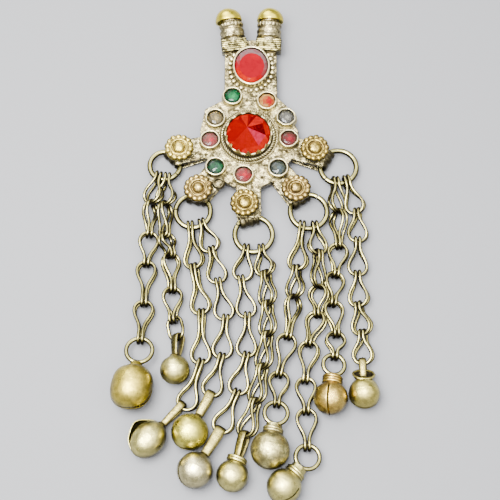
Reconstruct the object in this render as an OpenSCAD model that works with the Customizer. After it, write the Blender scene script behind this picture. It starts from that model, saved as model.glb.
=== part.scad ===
// A folk pendant that lies on its back: a necked plate of cast and soldered metal set with glass,
// five arms that end in loops, a jump ring in each loop, two chains on each ring and a bell on each chain.
// X runs across the pendant, Y up along it, Z away from the table. Sizes are in millimetres.

/* [Plate] */
// Height of the plate's face above the table
face_z = 5.2; // [5.1:0.05:5.3]
// Thickness of the round plate
plate_t = 2.6; // [2:0.1:3]
// Thickness of the neck
neck_t = 1.6; // [1.2:0.1:1.6]
// Thickness of the strip that each arm is made of
arm_t = 1.2; // [1:0.1:1.4]
// Width of an arm
arm_w = 7.6; // [7:0.1:8]
// Thickness and width of the leg that runs back under an arm
leg_t = 0.5; // [0.4:0.05:0.5]
leg_w = 7; // [6:0.1:7.4]
// Width of the neck
neck_w = 16.6; // [16:0.1:17]

/* [Loops at the arm ends] */
// Outer radius of the loop that each arm curls into
loop_r = 2.4; // [2.3:0.05:2.5]
// Radius of the hole through a loop
loop_bore_r = 1.8; // [1.7:0.05:1.85]
// Length of a loop along its hole
loop_l = 5.8; // [5:0.1:6]

/* [Posts] */
// Height of the posts' feet above the table, at their middle
post_z = 4.2; // [4.1:0.05:4.4]
// How far the posts point up from the table, in degrees
post_rise = 14; // [12:1:15]
// Radius of the domed caps on the posts
cap_r = 4.3; // [4.05:0.05:4.3]
// Radius of a post's tip, inside its cap
tip_r = 3.0; // [2.6:0.1:3.2]

/* [Settings] */
// Outer radius of a small bezel
bezel_r = 3.1; // [2.9:0.05:3.1]
// Thickness of a bezel's wall
bezel_wall = 0.45; // [0.35:0.05:0.5]
// Height of a small bezel above the plate
bezel_h = 1.9; // [1.6:0.1:2.2]
// Gap between a stone and its bezel
stone_gap = 0.1; // [0.08:0.01:0.15]
// Outer radius of the centre cup
cup_r = 7.35; // [7.3:0.05:7.4]
// Thickness of the centre cup's wall
cup_wall = 0.4; // [0.35:0.05:0.45]
// Height of the centre cup's wall above the plate
cup_h = 2.3; // [2:0.1:2.6]
// Number of teeth on the centre cup
cup_teeth = 14; // [12:1:15]
// Radius of the bead wire round the centre cup
rope_r = 8.1; // [8.05:0.05:8.15]
// Half width of the oval bezel
oval_w = 5.85; // [5.75:0.05:5.95]
// Half length of the oval bezel
oval_l = 6.95; // [6.8:0.05:7]
// Height of the oval bezel above the plate
oval_h = 2.6; // [2.3:0.1:3]
// Number of places for grains in the border round the oval bezel, and a grain's radius
oval_grains = 24; // [20:1:30]
grain_r = 0.65; // [0.5:0.01:0.66]

/* [Bosses and rosettes] */
// Radius of the boss that carries a rosette
boss_r = 3.2; // [2.8:0.1:3.6]
// Height of a boss above the plate
boss_h = 1.1; // [0.9:0.1:1.4]
// Radius of a rosette's base
rosette_r = 4.3; // [4.2:0.05:4.35]
// Number of grains round a rosette, and their radius
rosette_grains = 15; // [13:1:15]
rosette_grain_r = 0.77; // [0.7:0.01:0.78]

/* [Hanging tube] */
// Length of the tube on the back of the neck
bail_l = 9; // [6:0.5:12]
// Outer radius of the tube
bail_r = 1.8; // [1.75:0.05:1.8]
// Radius of the hole for a cord
bail_bore_r = 1.2; // [1:0.05:1.3]

/* [Rings and chains] */
// Radius of the jump rings' wire
ring_wire = 0.85; // [0.75:0.01:0.86]
// Height of the jump rings' wire above the table, at its middle
ring_z = 2.5; // [2.45:0.05:2.55]
// Radius of the chain links' wire
link_wire = 0.37; // [0.3:0.005:0.375]
// Half width of a link's round end
eye_w = 2.75; // [2.6:0.05:2.8]

/* [Bells] */
// Thickness of a bell's wall
bell_wall = 0.6; // [0.5:0.05:0.8]
// Radius of the wire of a bell's round bail
bail_wire = 0.55; // [0.5:0.01:0.6]
// Thickness of a bell's strap bail
strap_t = 0.6; // [0.5:0.05:0.7]
// Width of the slit in a bell
slit_w = 0.7; // [0.5:0.05:0.9]

/* [Hidden] */
silver = "#b9b18c";
copper = "#b08a52";
brass = "#cfae55";
wire_tone = "#c9c39a";
$fn = 48;

// The middle of the whole outline, which goes to the origin
outline_x = -1.3;
outline_y = 3.7;

// Middle of the centre stone, of the oval stone and of the hanging tube
cup_at = [-0.5, 37.1];
oval_at = [0.4, 61.1];
tube_y = 59;

// Outline of the round plate, from the neck's left foot anticlockwise
plate_outline = [
    [-8.1, 52], [-8.1, 50], [-14.1, 46.7], [-15.5, 39.5], [-14.7, 30.9], [-7.6, 21.9], [-5.2, 20.2],
    [3.6, 20.2], [6.6, 21.9], [13.9, 30.6], [15.2, 38.6], [11.6, 47.9], [8.5, 51], [8.5, 52]
];

// Left and right post: x and y of its foot and its lean to the left in degrees
posts = [[-4.85, 67.65, 8], [5.9, 67.65, -2.5]];
// Radius and place along a post, from inside its foot to its tip
post_profile = [
    [0, 1], [2.6, 1], [3.4, 4.2], [4, 4.6], [4, 5.7], [3.7, 5.9], [4, 6.1], [4, 7.2], [3.4, 7.6],
    [4, 8], [4, 9.6], [tip_r, 9.9], [tip_r, 11.4], [0, 11.4]
];
// Ribs across a post's foot: where each starts and ends along the post
foot_ribs = [[0, 0.8], [1.1, 1.8], [2.1, 2.8], [3.1, 4]];
// Half width of a foot, and its height before and behind the post's axis
foot_w = 4.1;
foot_front = 2.9;
foot_back = 2.4;
// How far the foot's core lies under its ribs
rib_depth = 0.25;
// Where a cap starts and its post's tip ends along the post, and the height of the cap's straight rim
cap_from = 10.15;
tip_to = 11.4;
cap_rim = 0.3;
// How far each cap sits to the left of its post
cap_shift = [0.6, -0.2];

// Small stones: x and y
small_stones = [
    [-5.5, 50.6], [5.3, 49], [-10.8, 42.9], [11.3, 43.2], [-12.4, 35.4],
    [12, 35.8], [-10.6, 26.3], [8.6, 25.9], [-2, 23.6]
];
// A small empty collet on the root of the lower left arm: x, y and radius
collet = [-9.6, 21.2, 1.7];

// Rings, from the left: x, y, radius at the wire's middle, turn of the arm's loop round the ring,
// turn of the ring's own joint
rings = [
    [-26.4, 28.4, 4.7, 44, 320],
    [-17.4, 13, 5.3, 77, 175],
    [1.1, 5.5, 5.7, 107, 150],
    [17.9, 13, 5.6, 124, 60],
    [27.4, 27.9, 5.6, 149, 225]
];
// Bosses on the arms: x and y
bosses = [[-21.8, 32.4], [-15.7, 18.9], [-1.6, 14.1], [14, 18.9], [20, 32.2]];

// Half thickness of a link at its fold, at the fold round a ring and at its round ends
fold_h = 1.5;
ring_fold_h = 1.9;
eye_h = 0.45;
// Half distance between the two wires of a fold, and how far two round ends pull past each other
fold_w = 0.78;
hook_over = 0.45;

// Chains, from the left: the ring's number, the turn on the ring where the chain hangs, then the links.
// A link has x, y, z of its lower end, the turn about its own length at its upper and its lower end,
// and its way: 1 with the fold above, -1 with the fold below, 0 a single flat loop.
chains = [
    [0, 244, [
        [-30.2, 15.9, 3, -5, 40, 1], [-30.4, 5.7, 3.6, -75, -10, -1], [-31, -3.3, 2.4, -10, 0, -1],
        [-31.3, -15.7, 2.4, 0, 0, -1], [-31.9, -27.2, 3.2, 0, 0, -1]]],
    [0, 280, [
        [-25.9, 15.3, 3.3, -5, 35, 1], [-25.8, 5.8, 3.6, -60, -55, -1], [-24, -0.7, 3.1, -55, -40, -1],
        [-23.2, -11.6, 2.9, -40, -20, -1], [-22.6, -20.9, 2.7, -20, 20, -1], [-21, -27.4, 3.2, 20, 45, 0]]],
    [1, 263, [
        [-16.6, -5.5, 2.8, 0, 20, 1], [-14.2, -19.6, 2.4, 20, 10, 1], [-14.4, -34.7, 2.6, 10, 0, 1],
        [-18.8, -48.1, 2.9, 0, 0, 1]]],
    [1, 304, [
        [-11.3, 0, 2.6, 0, 15, 1], [-9.4, -10, 2.5, 15, 0, 1], [-7.2, -21.4, 2.5, 0, 0, 1],
        [-8.4, -33, 2.5, 0, 0, 1], [-11.6, -44.3, 3.2, 0, 0, 1]]],
    [2, 246, [
        [-2.6, -9.2, 2.5, 0, 0, 1], [-0.8, -20.6, 2.4, 0, 0, 1], [-1.2, -32.6, 2.5, 0, 0, 1],
        [-4, -43.6, 2.6, 0, 0, 1], [-8.8, -54.6, 3.2, 0, 0, 1]]],
    [2, 295, [
        [4.8, -7.8, 3.1, 0, 40, 1], [5.2, -17.2, 3.2, 40, 50, 1], [5, -26.6, 3.2, 50, 50, 1],
        [3.5, -36.3, 3.2, 50, 50, 1], [1.4, -46.3, 3.2, 50, 45, 1], [-1.7, -55.8, 3.2, 45, 30, 1]]],
    [3, 247, [
        [13.9, -6, 2.8, 0, 25, 1], [13.1, -14.4, 3, 25, 55, 1], [11.1, -26, 3.3, -55, -10, -1],
        [8.5, -37.1, 2.5, -10, 0, -1], [7.7, -45.9, 3, 0, 0, -1]]],
    [3, 289, [
        [20.5, -1.1, 2.9, 0, -30, 1], [20.3, -11.3, 3, -30, -55, 1], [20.1, -19.1, 2.6, 30, 25, -1],
        [17.4, -28.1, 2.8, 25, 15, -1], [16, -38.8, 2.3, 15, 0, -1], [16, -47.9, 2.5, 0, 0, -1],
        [16.1, -58.2, 2.8, 0, 0, -1]]],
    [4, 259, [
        [26.8, 12.9, 3, -10, -50, 1], [26.8, 2.2, 3.1, 60, 15, -1], [25.5, -6.8, 2.7, 15, -15, -1],
        [24.4, -15.8, 2.8, -15, -15, -1], [25.1, -25.2, 2.8, -15, -10, -1], [24.5, -32, 2.9, -10, -5, -1]]],
    [4, 297, [
        [32.8, 12.4, 2.5, 0, 20, 1], [32.5, 3, 2.6, 20, 0, 1], [32.1, -7.7, 2.5, 0, 0, 1],
        [32.2, -17.4, 2.6, 0, 25, 1], [33, -26.1, 2.9, 25, 30, 1], [32.6, -34.8, 3, 30, 10, 1]]]
];

// Bells: x, y, radius, kind of bail (0 a wire ring, 1 a strap), the ring's radius or the strap's width,
// number of turns of wire round the neck, turn of the slit about the bell and how far up it runs
bells = [
    [-33.6, -42.2, 6.1, 0, 3.8, 0, 80, 0],
    [-21.6, -36.7, 4.25, 1, 2.6, 0, 30, 0],
    [-28.5, -56.8, 4.6, 1, 2.2, 0, 100, 0],
    [-16.9, -54.8, 5.2, 1, 2.7, 0, 75, 0],
    [-15.3, -65.4, 5.05, 1, 3, 0, 120, 0],
    [-4.9, -66.8, 4.5, 1, 2.4, 2, 100, 0],
    [5.6, -59.8, 5.5, 0, 3.3, 2, 150, 0],
    [9.4, -69.8, 4.9, 0, 3.4, 2, 60, 0],
    [23, -45.1, 4.9, 0, 3.1, 3, -15, 3],
    [32.6, -43.6, 4.5, 1, 2.2, 0, 90, 0]
];
// Half lengths of the first and third bell, which are longer than they are wide
first_bell = 6.5;
long_bell = 5.7;
// Where its strap holds the chain, on the left of the last link's round end
side_hook = [-19.9, -47.3, 2.9];
// Inner radius of a strap's bend and how far it runs past the chain's end
strap_bend = 1.2;
strap_over = 0.15;
// Turns of wire round a neck: radius at the wire's middle, wire radius and distance from turn to turn
coil_r = 2.55;
coil_wire = 0.45;
coil_step = 0.75;

function unit(v) = v / norm(v);
function mix(a, b, f) = a + (b - a) * f;
function ring_point(k, turn) = [rings[k].x + rings[k][2] * cos(turn), rings[k].y + rings[k][2] * sin(turn), ring_z];
function ellipse(w, l, n) = [for (i = [0:n - 1]) [w * cos(360 * i / n), l * sin(360 * i / n)]];

// One round end of a link and the wires up to its fold, from one side to the other.
// Each row is place across, place along from the fold's middle, place through, then the direction
// that faces away from the link there, along and through. side is 1 for the front, -1 for the back.
function eye_rows(l, h, side) =
    let (half = [
        [fold_w, 0.3], [fold_w + 0.3, 0.36 * l], [eye_w, l - 2.5], [0.84 * eye_w, l - 0.8], [0.35 * eye_w, l]
    ])
    [for (i = [0:9])
        let (p = half[i < 5 ? i : 9 - i], across = (i < 5 ? 1 : -1) * side * p.x)
        [across, p.y, side * mix(h, eye_h, min(1, max(0, p.y / l))), 0, side]];
// The part of a link's wire that goes over the fold, from side to -side
function fold_rows(h, side) =
    [for (k = [1, -1]) [-side * fold_w, -0.95 * h, side * k * h * 0.75, -0.7, side * k * 0.7]];
// The whole closed wire of a folded link
function folded_link(l, h) = concat(eye_rows(l, h, 1), fold_rows(h, 1), eye_rows(l, h, -1), fold_rows(h, -1));
// The wire of a single flat loop
function flat_link(l) = [for (p = [
        [0.9, 0], [2, 0.8], [2.5, 0.45 * l], [2.6, l - 2.2], [2, l - 0.6], [0.8, l],
        [-0.8, l], [-2, l - 0.6], [-2.6, l - 2.2], [-2.5, 0.45 * l], [-2, 0.8], [-0.9, 0]
    ]) [p.x, p.y, 0, 0, 1]];

// Places a link's row: down is the chain's direction, side and up lie across it, from the start point
function placed_row(row, start, down, side, up, way, l, turns) =
    let (
        along = way < 0 ? l - row.y : row.y,
        turn = mix(turns[0], turns[1], min(1, max(0, along / l))),
        across = cos(turn) * side + sin(turn) * up,
        through = cos(turn) * up - sin(turn) * side,
        sense = way < 0 ? -1 : 1
    )
    [start + down * along + across * row.x + through * row.z, down * sense * row[3] + through * row[4]];
function placed_link(top, bottom, turns, way, h) =
    let (
        down = unit(bottom - top),
        side = unit(cross([0, 0, 1], down)),
        up = cross(down, side),
        l = norm(bottom - top),
        rows = way == 0 ? flat_link(l) : folded_link(l, h)
    )
    [for (row = rows) placed_row(row, top, down, side, up, way, l, turns)];

// A closed wire with five sides through rows of a point and a direction that faces outward
module closed_wire(rows, r) {
    n = len(rows);
    sides = 5;
    points = [for (i = [0:n - 1])
        let (
            ahead = unit(rows[(i + 1) % n][0] - rows[i][0]),
            behind = unit(rows[i][0] - rows[(i + n - 1) % n][0]),
            t = unit(ahead + behind),
            c = unit(cross(t, rows[i][1])),
            b = cross(c, t)
        )
        for (j = [0:sides - 1]) rows[i][0] + r * (cos(360 * j / sides) * b + sin(360 * j / sides) * c)];
    faces = [for (i = [0:n - 1], j = [0:sides - 1])
        let (k = (i + 1) % n, m = (j + 1) % sides)
        for (f = [[i * sides + j, k * sides + j, k * sides + m], [i * sides + j, k * sides + m, i * sides + m]]) f];
    polyhedron(points = points, faces = faces, convexity = 6);
}

module placed() {
    translate([-outline_x, -outline_y, 0]) children();
}

// Centre of the loop of arm k
function loop_at(k) =
    let (r = rings[k][2], out = 0.4 * r + 0.6 * sqrt(r * r - loop_l * loop_l / 4), turn = rings[k][3])
    [rings[k].x + out * cos(turn), rings[k].y + out * sin(turn)];

module arm(k) {
    at = loop_at(k);
    reach = norm(at - cup_at);
    aim = atan2(at.y - cup_at.y, at.x - cup_at.x);
    translate([cup_at.x, cup_at.y, face_z - arm_t])
        rotate([0, 0, aim])
            translate([8, -arm_w / 2, 0]) cube([reach - 7.5, arm_w, arm_t]);
    translate([at.x, at.y, loop_r])
        rotate([90, 0, rings[k][3]])
            rotate_extrude()
                polygon([
                    [loop_r - 0.75, -loop_l / 2], [loop_r, -loop_l / 2], [loop_r, -1.1], [loop_r - 0.25, -0.8],
                    [loop_r - 0.25, -0.6], [loop_r, -0.3], [loop_r, 1.3], [loop_r - 0.25, 1.6],
                    [loop_r - 0.25, 1.8], [loop_r, 2.1], [loop_r, loop_l / 2], [loop_r - 0.75, loop_l / 2]
                ]);
    // The lower leg, from under the loop back to the plate
    leg_l = reach - 12;
    translate([at.x, at.y, 0.05])
        rotate([0, asin((face_z - plate_t) / leg_l), aim])
            translate([-leg_l, -leg_w / 2, 0]) cube([leg_l, leg_w, leg_t]);
    translate([bosses[k].x, bosses[k].y, face_z - 0.4]) cylinder(r = boss_r, h = boss_h + 0.4);
}

module loop_bore(k) {
    at = loop_at(k);
    translate([at.x, at.y, loop_r])
        rotate([90, 0, rings[k][3]])
            cylinder(r = loop_bore_r, h = loop_l + 4, center = true);
}

module small_bezel(at) {
    translate([at.x, at.y, face_z - 0.4])
        difference() {
            cylinder(r = bezel_r, h = bezel_h + 0.4);
            translate([0, 0, -1]) cylinder(r = bezel_r - bezel_wall, h = bezel_h + 2);
        }
    translate([at.x, at.y, face_z]) rotate_extrude() translate([bezel_r + 0.1, 0]) circle(r = 0.28, $fn = 16);
}

module centre_cup() {
    translate([cup_at.x, cup_at.y, face_z - 0.4])
        difference() {
            cylinder(r = cup_r, h = cup_h + 0.4);
            translate([0, 0, -1]) cylinder(r = cup_r - cup_wall, h = cup_h + 2);
        }
    for (i = [0:cup_teeth - 1])
        translate([cup_at.x, cup_at.y, face_z + cup_h - 0.2])
            rotate([0, 0, 360 * i / cup_teeth])
                translate([cup_r - 0.05, 0, 0])
                    rotate([90, 0, -90]) linear_extrude(height = 0.3) polygon([[-1.1, 0], [1.1, 0], [0, 1.5]]);
    translate([cup_at.x, cup_at.y, face_z]) rotate_extrude() translate([rope_r, 0]) circle(r = 0.5, $fn = 16);
}

module oval_bezel() {
    translate([oval_at.x, oval_at.y, face_z - 0.4])
        linear_extrude(height = oval_h + 0.4)
            difference() {
                polygon(ellipse(oval_w, oval_l, 40));
                polygon(ellipse(oval_w - bezel_wall, oval_l - bezel_wall, 40));
            }
}

// The grains round the oval bezel, without those that the posts would cover
module grain_border() {
    for (i = [0:oval_grains - 1]) {
        turn = 360 * (i + 0.5) / oval_grains;
        p = [(oval_w + 1) * cos(turn), (oval_l + 1) * sin(turn)];
        if (p.y < 6.2 || abs(p.x) < 1.7)
            translate([oval_at.x + p.x, oval_at.y + p.y, face_z + 0.2]) sphere(r = grain_r);
    }
}

module on_post(k) {
    translate([posts[k].x, posts[k].y, post_z]) rotate([post_rise - 90, 0, posts[k][2]]) children();
}

// A post with its ribbed foot, which leaves room for the oval stone
module post(k) {
    difference() {
        on_post(k) {
            rotate_extrude() polygon(post_profile);
            translate([rib_depth - foot_w, rib_depth - foot_front, 0.3])
                cube([2 * (foot_w - rib_depth), foot_front + foot_back - 2 * rib_depth, 3.5]);
            for (rib = foot_ribs)
                translate([-foot_w, -foot_front, rib[0]]) cube([2 * foot_w, foot_front + foot_back, rib[1] - rib[0]]);
        }
        translate([oval_at.x, oval_at.y, face_z])
            linear_extrude(height = 5) polygon(ellipse(oval_w - bezel_wall, oval_l - bezel_wall, 40));
    }
}

module body() {
    color(silver) placed() difference() {
        union() {
            translate([0, 0, face_z - plate_t]) linear_extrude(height = plate_t) polygon(plate_outline);
            translate([0.2 - neck_w / 2, 48, face_z - neck_t]) cube([neck_w, 23.6, neck_t]);
            for (k = [0:4]) arm(k);
            for (k = [0, 1]) post(k);
            for (at = small_stones) small_bezel(at);
            translate([collet.x, collet.y, face_z - 0.4])
                difference() {
                    cylinder(r = collet[2], h = 1.3);
                    translate([0, 0, -1]) cylinder(r = collet[2] - 0.5, h = 3);
                }
            centre_cup();
            oval_bezel();
            grain_border();
        }
        for (k = [0:4]) loop_bore(k);
    }
}

module cap(k) {
    color(brass) placed() on_post(k)
        difference() {
            translate([-cap_shift[k], 0, cap_from]) {
                cylinder(r = cap_r, h = cap_rim);
                difference() {
                    translate([0, 0, cap_rim]) sphere(r = cap_r);
                    translate([-cap_r - 1, -cap_r - 1, -2 * cap_r]) cube([2 * cap_r + 2, 2 * cap_r + 2, 2 * cap_r]);
                }
            }
            translate([0, 0, cap_from - 1]) cylinder(r = tip_r + 0.1, h = tip_to - cap_from + 1.1);
        }
}

module hanging_tube() {
    top = face_z - neck_t;
    color(silver) placed()
        translate([oval_at.x, tube_y, 0])
            difference() {
                union() {
                    translate([0, 0, bail_r]) rotate([0, 90, 0]) cylinder(r = bail_r, h = bail_l, center = true);
                    translate([-bail_l / 2, -1.4, bail_r]) cube([bail_l, 2.8, top - bail_r]);
                }
                translate([0, 0, bail_r]) rotate([0, 90, 0]) cylinder(r = bail_bore_r, h = bail_l + 2, center = true);
            }
}

// A cut stone: a point or small face below, a girdle with n sides and a table
module cut_stone(r, n, under, girdle, table_z, table_r) {
    hull() {
        translate([0, 0, under]) cylinder(r = 0.35 * r, h = 0.1, $fn = n);
        translate([0, 0, girdle]) rotate([0, 0, 180 / n]) cylinder(r = r, h = 0.25, $fn = n);
        translate([0, 0, table_z - 0.05]) cylinder(r = table_r, h = 0.05, $fn = n);
    }
}

module small_stone(k) {
    tones = ["#1f9b55", "#d8613a", "#cfc9a8", "#d5d8d2", "#d05a5e", "#d8505a", "#2d7d54", "#4f6f6c", "#d8606a"];
    color(tones[k]) placed()
        translate([small_stones[k].x, small_stones[k].y, face_z])
            cut_stone(bezel_r - bezel_wall - stone_gap, 8, 0.1, 1.1, 1.9, 1.4);
}

module stone_oval() {
    w = oval_w - bezel_wall - stone_gap - 0.05;
    l = oval_l - bezel_wall - stone_gap - 0.05;
    color("#e0344a") placed()
        translate([oval_at.x, oval_at.y, face_z])
            hull() {
                translate([0, 0, 0.1]) linear_extrude(height = 0.1) polygon(ellipse(0.5 * w, 0.5 * l, 12));
                translate([0, 0, 1.5]) linear_extrude(height = 0.3) polygon(ellipse(w, l, 16));
                translate([0, 0, 2.95]) linear_extrude(height = 0.05) polygon(ellipse(0.72 * w, 0.72 * l, 12));
            }
}

// The pointed centre stone, with eight large facets and a break at its girdle
module stone_centre() {
    r = cup_r - cup_wall - stone_gap;
    color("#d8101c") placed()
        translate([cup_at.x, cup_at.y, face_z])
            hull() {
                translate([0, 0, 0.1]) cylinder(r = 0.4 * r, h = 0.1, $fn = 8);
                translate([0, 0, 1.7]) cylinder(r = r, h = 0.4, $fn = 16);
                translate([0, 0, 2.9]) rotate([0, 0, -10]) cylinder(r = 0.8 * r, h = 0.05, $fn = 8);
                translate([-0.4, 0.5, 5.6]) cylinder(r = 0.1, h = 0.05, $fn = 8);
            }
}

module rosette(k) {
    color(copper) placed()
        translate([bosses[k].x, bosses[k].y, face_z + boss_h + 0.1]) {
            cylinder(r = rosette_r, h = 0.8);
            for (i = [0:rosette_grains - 1])
                rotate([0, 0, 360 * i / rosette_grains])
                    translate([rosette_r - 0.45, 0, 0.8]) sphere(r = rosette_grain_r, $fn = 24);
            translate([0, 0, 0.5]) cylinder(r = 2.7, h = 0.8);
            translate([0, 0, 1.3]) rotate_extrude() translate([2.35, 0]) circle(r = 0.3, $fn = 16);
            difference() {
                translate([0, 0, 0.9]) sphere(r = 1.75, $fn = 32);
                translate([-2, -2, -1.6]) cube([4, 4, 2.2]);
            }
        }
}

module jump_ring(k) {
    opening = 4;
    color(wire_tone) placed()
        translate([rings[k].x, rings[k].y, ring_z])
            rotate([0, 0, rings[k][4] + opening / 2])
                rotate_extrude(angle = 360 - opening) translate([rings[k][2], 0]) circle(r = ring_wire, $fn = 24);
}

// Link i of chain k. Where a link with its fold above meets one with its fold below, their round ends
// pull past each other.
module link(k, i) {
    links = chains[k][2];
    row = links[i];
    before = i == 0 ? ring_point(chains[k][0], chains[k][1]) : [links[i - 1][0], links[i - 1][1], links[i - 1][2]];
    end = [row[0], row[1], row[2]];
    down = unit(end - before);
    over_top = i > 0 && row[5] == -1 && links[i - 1][5] == 1 ? hook_over : 0;
    over_end = row[5] == 1 && links[min(i + 1, len(links) - 1)][5] == -1 ? hook_over : 0;
    closed_wire(
        placed_link(
            before - over_top * down, end + over_end * down, [row[3], row[4]], row[5],
            i == 0 ? ring_fold_h : fold_h),
        link_wire);
}

module chain(k) {
    color(wire_tone) placed() for (i = [0:len(chains[k][2]) - 1]) link(k, i);
}

function bell_top(k) = k == 0 ? first_bell : k == 2 ? long_bell : bells[k][2];

module bell_shell(k) {
    r = bells[k][2];
    top = bell_top(k);
    if (top > r)
        rotate_extrude() crescent(r, top, r - bell_wall, top - bell_wall);
    else
        difference() {
            sphere(r = r);
            sphere(r = r - bell_wall);
        }
}

// Half of an upright oval between two sizes, for turning
module crescent(w, l, inner_w, inner_l) {
    difference() {
        polygon([for (i = [-9:9]) [w * cos(10 * i), l * sin(10 * i)]]);
        polygon([for (i = [-9:9]) [inner_w * cos(10 * i), inner_l * sin(10 * i)]]);
    }
}

// The strap over the chain's last link; far is that link's end along the bell's own axis
module strap_bail(top, far, w) {
    outer = strap_bend + strap_t;
    bend_z = far + strap_over;
    difference() {
        union() {
            translate([0, 0, bend_z]) rotate([90, 0, 0]) cylinder(r = outer, h = w, center = true);
            translate([-outer, -w / 2, top - 0.5]) cube([2 * outer, w, bend_z - top + 0.5]);
        }
        translate([0, 0, bend_z]) rotate([90, 0, 0]) cylinder(r = strap_bend, h = w + 2, center = true);
        translate([-strap_bend, -w / 2 - 1, top + 0.4]) cube([2 * strap_bend, w + 2, bend_z - top - 0.4]);
    }
}

module ring_bail(top, far, r, stem_r) {
    translate([0, 0, far]) rotate([0, 90, 0]) rotate_extrude() translate([r, 0]) circle(r = bail_wire, $fn = 16);
    translate([0, 0, top - 0.7]) cylinder(r = stem_r, h = far - r - top + 0.8);
}

module neck_coil(top, turns) {
    translate([0, 0, top - 0.9]) cylinder(r = coil_r - 0.05, h = 0.65 + coil_step * (turns - 1));
    for (i = [0:turns - 1])
        translate([0, 0, top - 0.45 + coil_step * i])
            rotate_extrude() translate([coil_r, 0]) circle(r = coil_wire, $fn = 16);
}

module bell(k) {
    row = bells[k];
    r = row[2];
    top = bell_top(k);
    centre = [row[0], row[1], top > r ? r + 0.05 : r];
    links = chains[k][2];
    last = links[len(links) - 1];
    above = links[len(links) - 2];
    hook = k == 2 ? side_hook : [last[0], last[1], last[2]];
    // A wire ring hangs on in the last link's direction and slopes as the line to the bell does
    level = unit([hook.x - above[0], hook.y - above[1], 0]);
    rise = (centre.z - hook.z) / norm([centre.x - hook.x, centre.y - hook.y]);
    down = unit([level.x, level.y, rise]);
    reach = (row[3] == 0 ? hook + row[4] * down : hook) - centre;
    far = norm(reach);
    color(k == 0 || k == 3 ? brass : wire_tone) placed()
        translate(centre)
            rotate([0, acos(reach.z / far), atan2(reach.y, reach.x)]) {
                difference() {
                    bell_shell(k);
                    rotate([0, 0, row[6]])
                        translate([-r - 1, -slit_w / 2, -top - 1]) cube([2 * r + 2, slit_w, top + 1 + row[7]]);
                }
                rotate([0, 0, -last[4]])
                    if (row[3] == 0)
                        ring_bail(top, far, row[4], row[5] > 0 ? coil_r - 0.05 : 1.9);
                    else
                        strap_bail(top, far, row[4]);
                if (row[5] > 0) neck_coil(top, row[5]);
                // The third bell has split, and one side of its shell stands away as a flap
                if (k == 2)
                    rotate([0, 0, 75]) rotate_extrude(angle = 60) crescent(r + 1.2, long_bell, r + 0.7, long_bell - 0.5);
                // The tenth bell has a dished collar
                if (k == 9)
                    translate([0, 0, top - 0.15])
                        rotate_extrude()
                            polygon([[1.2, 0], [2.4, 0.2], [3.3, 1.9], [2.9, 2], [2.1, 0.7], [1.2, 0.5]]);
            }
}

body();
cap(0);  // cap_left
cap(1);  // cap_right
hanging_tube();
stone_oval();
stone_centre();
small_stone(0);  // stone_1
small_stone(1);  // stone_2
small_stone(2);  // stone_3
small_stone(3);  // stone_4
small_stone(4);  // stone_5
small_stone(5);  // stone_6
small_stone(6);  // stone_7
small_stone(7);  // stone_8
small_stone(8);  // stone_9
rosette(0);  // rosette_1
rosette(1);  // rosette_2
rosette(2);  // rosette_3
rosette(3);  // rosette_4
rosette(4);  // rosette_5
jump_ring(0);  // jump_ring_1
jump_ring(1);  // jump_ring_2
jump_ring(2);  // jump_ring_3
jump_ring(3);  // jump_ring_4
jump_ring(4);  // jump_ring_5
chain(0);  // chain_01
chain(1);  // chain_02
chain(2);  // chain_03
chain(3);  // chain_04
chain(4);  // chain_05
chain(5);  // chain_06
chain(6);  // chain_07
chain(7);  // chain_08
chain(8);  // chain_09
chain(9);  // chain_10
bell(0);  // bell_01
bell(1);  // bell_02
bell(2);  // bell_03
bell(3);  // bell_04
bell(4);  // bell_05
bell(5);  // bell_06
bell(6);  // bell_07
bell(7);  // bell_08
bell(8);  // bell_09
bell(9);  // bell_10
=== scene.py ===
# %% [markdown]
# # A folk pendant with bells
# The real pendant is made at a bench from scraps of silver and brass. A plate is cut and soldered full of
# settings, five arms curl into loops, and rings, bent wire links and hollow bells hang from them. This
# lesson builds its look over a measured model, the frame, that says where every piece lies.

# %% Load the frame
import math
import random
from collections import namedtuple
import bmesh
import bpy
from mathutils import Matrix, Vector, noise


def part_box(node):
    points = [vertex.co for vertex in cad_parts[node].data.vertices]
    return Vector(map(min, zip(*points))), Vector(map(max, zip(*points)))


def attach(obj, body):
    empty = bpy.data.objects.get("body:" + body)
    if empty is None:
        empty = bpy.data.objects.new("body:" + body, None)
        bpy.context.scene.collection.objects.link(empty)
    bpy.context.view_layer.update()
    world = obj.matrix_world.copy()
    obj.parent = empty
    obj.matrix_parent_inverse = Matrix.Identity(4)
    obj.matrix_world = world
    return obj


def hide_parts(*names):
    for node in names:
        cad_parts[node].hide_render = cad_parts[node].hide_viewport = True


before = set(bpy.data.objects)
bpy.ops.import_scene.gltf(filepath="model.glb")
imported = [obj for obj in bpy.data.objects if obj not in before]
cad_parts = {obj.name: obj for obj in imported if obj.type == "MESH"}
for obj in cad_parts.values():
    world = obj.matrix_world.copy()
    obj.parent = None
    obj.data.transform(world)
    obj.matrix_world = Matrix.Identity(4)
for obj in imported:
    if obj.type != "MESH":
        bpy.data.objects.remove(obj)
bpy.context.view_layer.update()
print("nodes in the frame:", len(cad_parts))

# %% [markdown]
# ## Units and the drawing
# A jeweller thinks in millimetres and Blender in metres, so all sizes below are in millimetres and become
# metres only where a mesh is made. Every place is drawn on a sheet whose zero isn't the frame's zero, so
# one vector carries drawn points over. The pendant lies on its back, and heights are counted from the
# surface below it.

# %% Units and places
MM = 0.001
SHEET_MIDDLE = Vector((-1.3, 3.7, 0))


def drawn(x, y, z=0.0):
    """A point of the drawing, in the frame's millimetres."""
    return Vector((x, y, z)) - SHEET_MIDDLE


# %% [markdown]
# A mesh in Blender is a list of corners and a list of faces. This helper turns both into an object at the
# origin, which is where every finished piece stays: its place is in its corners.

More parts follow.
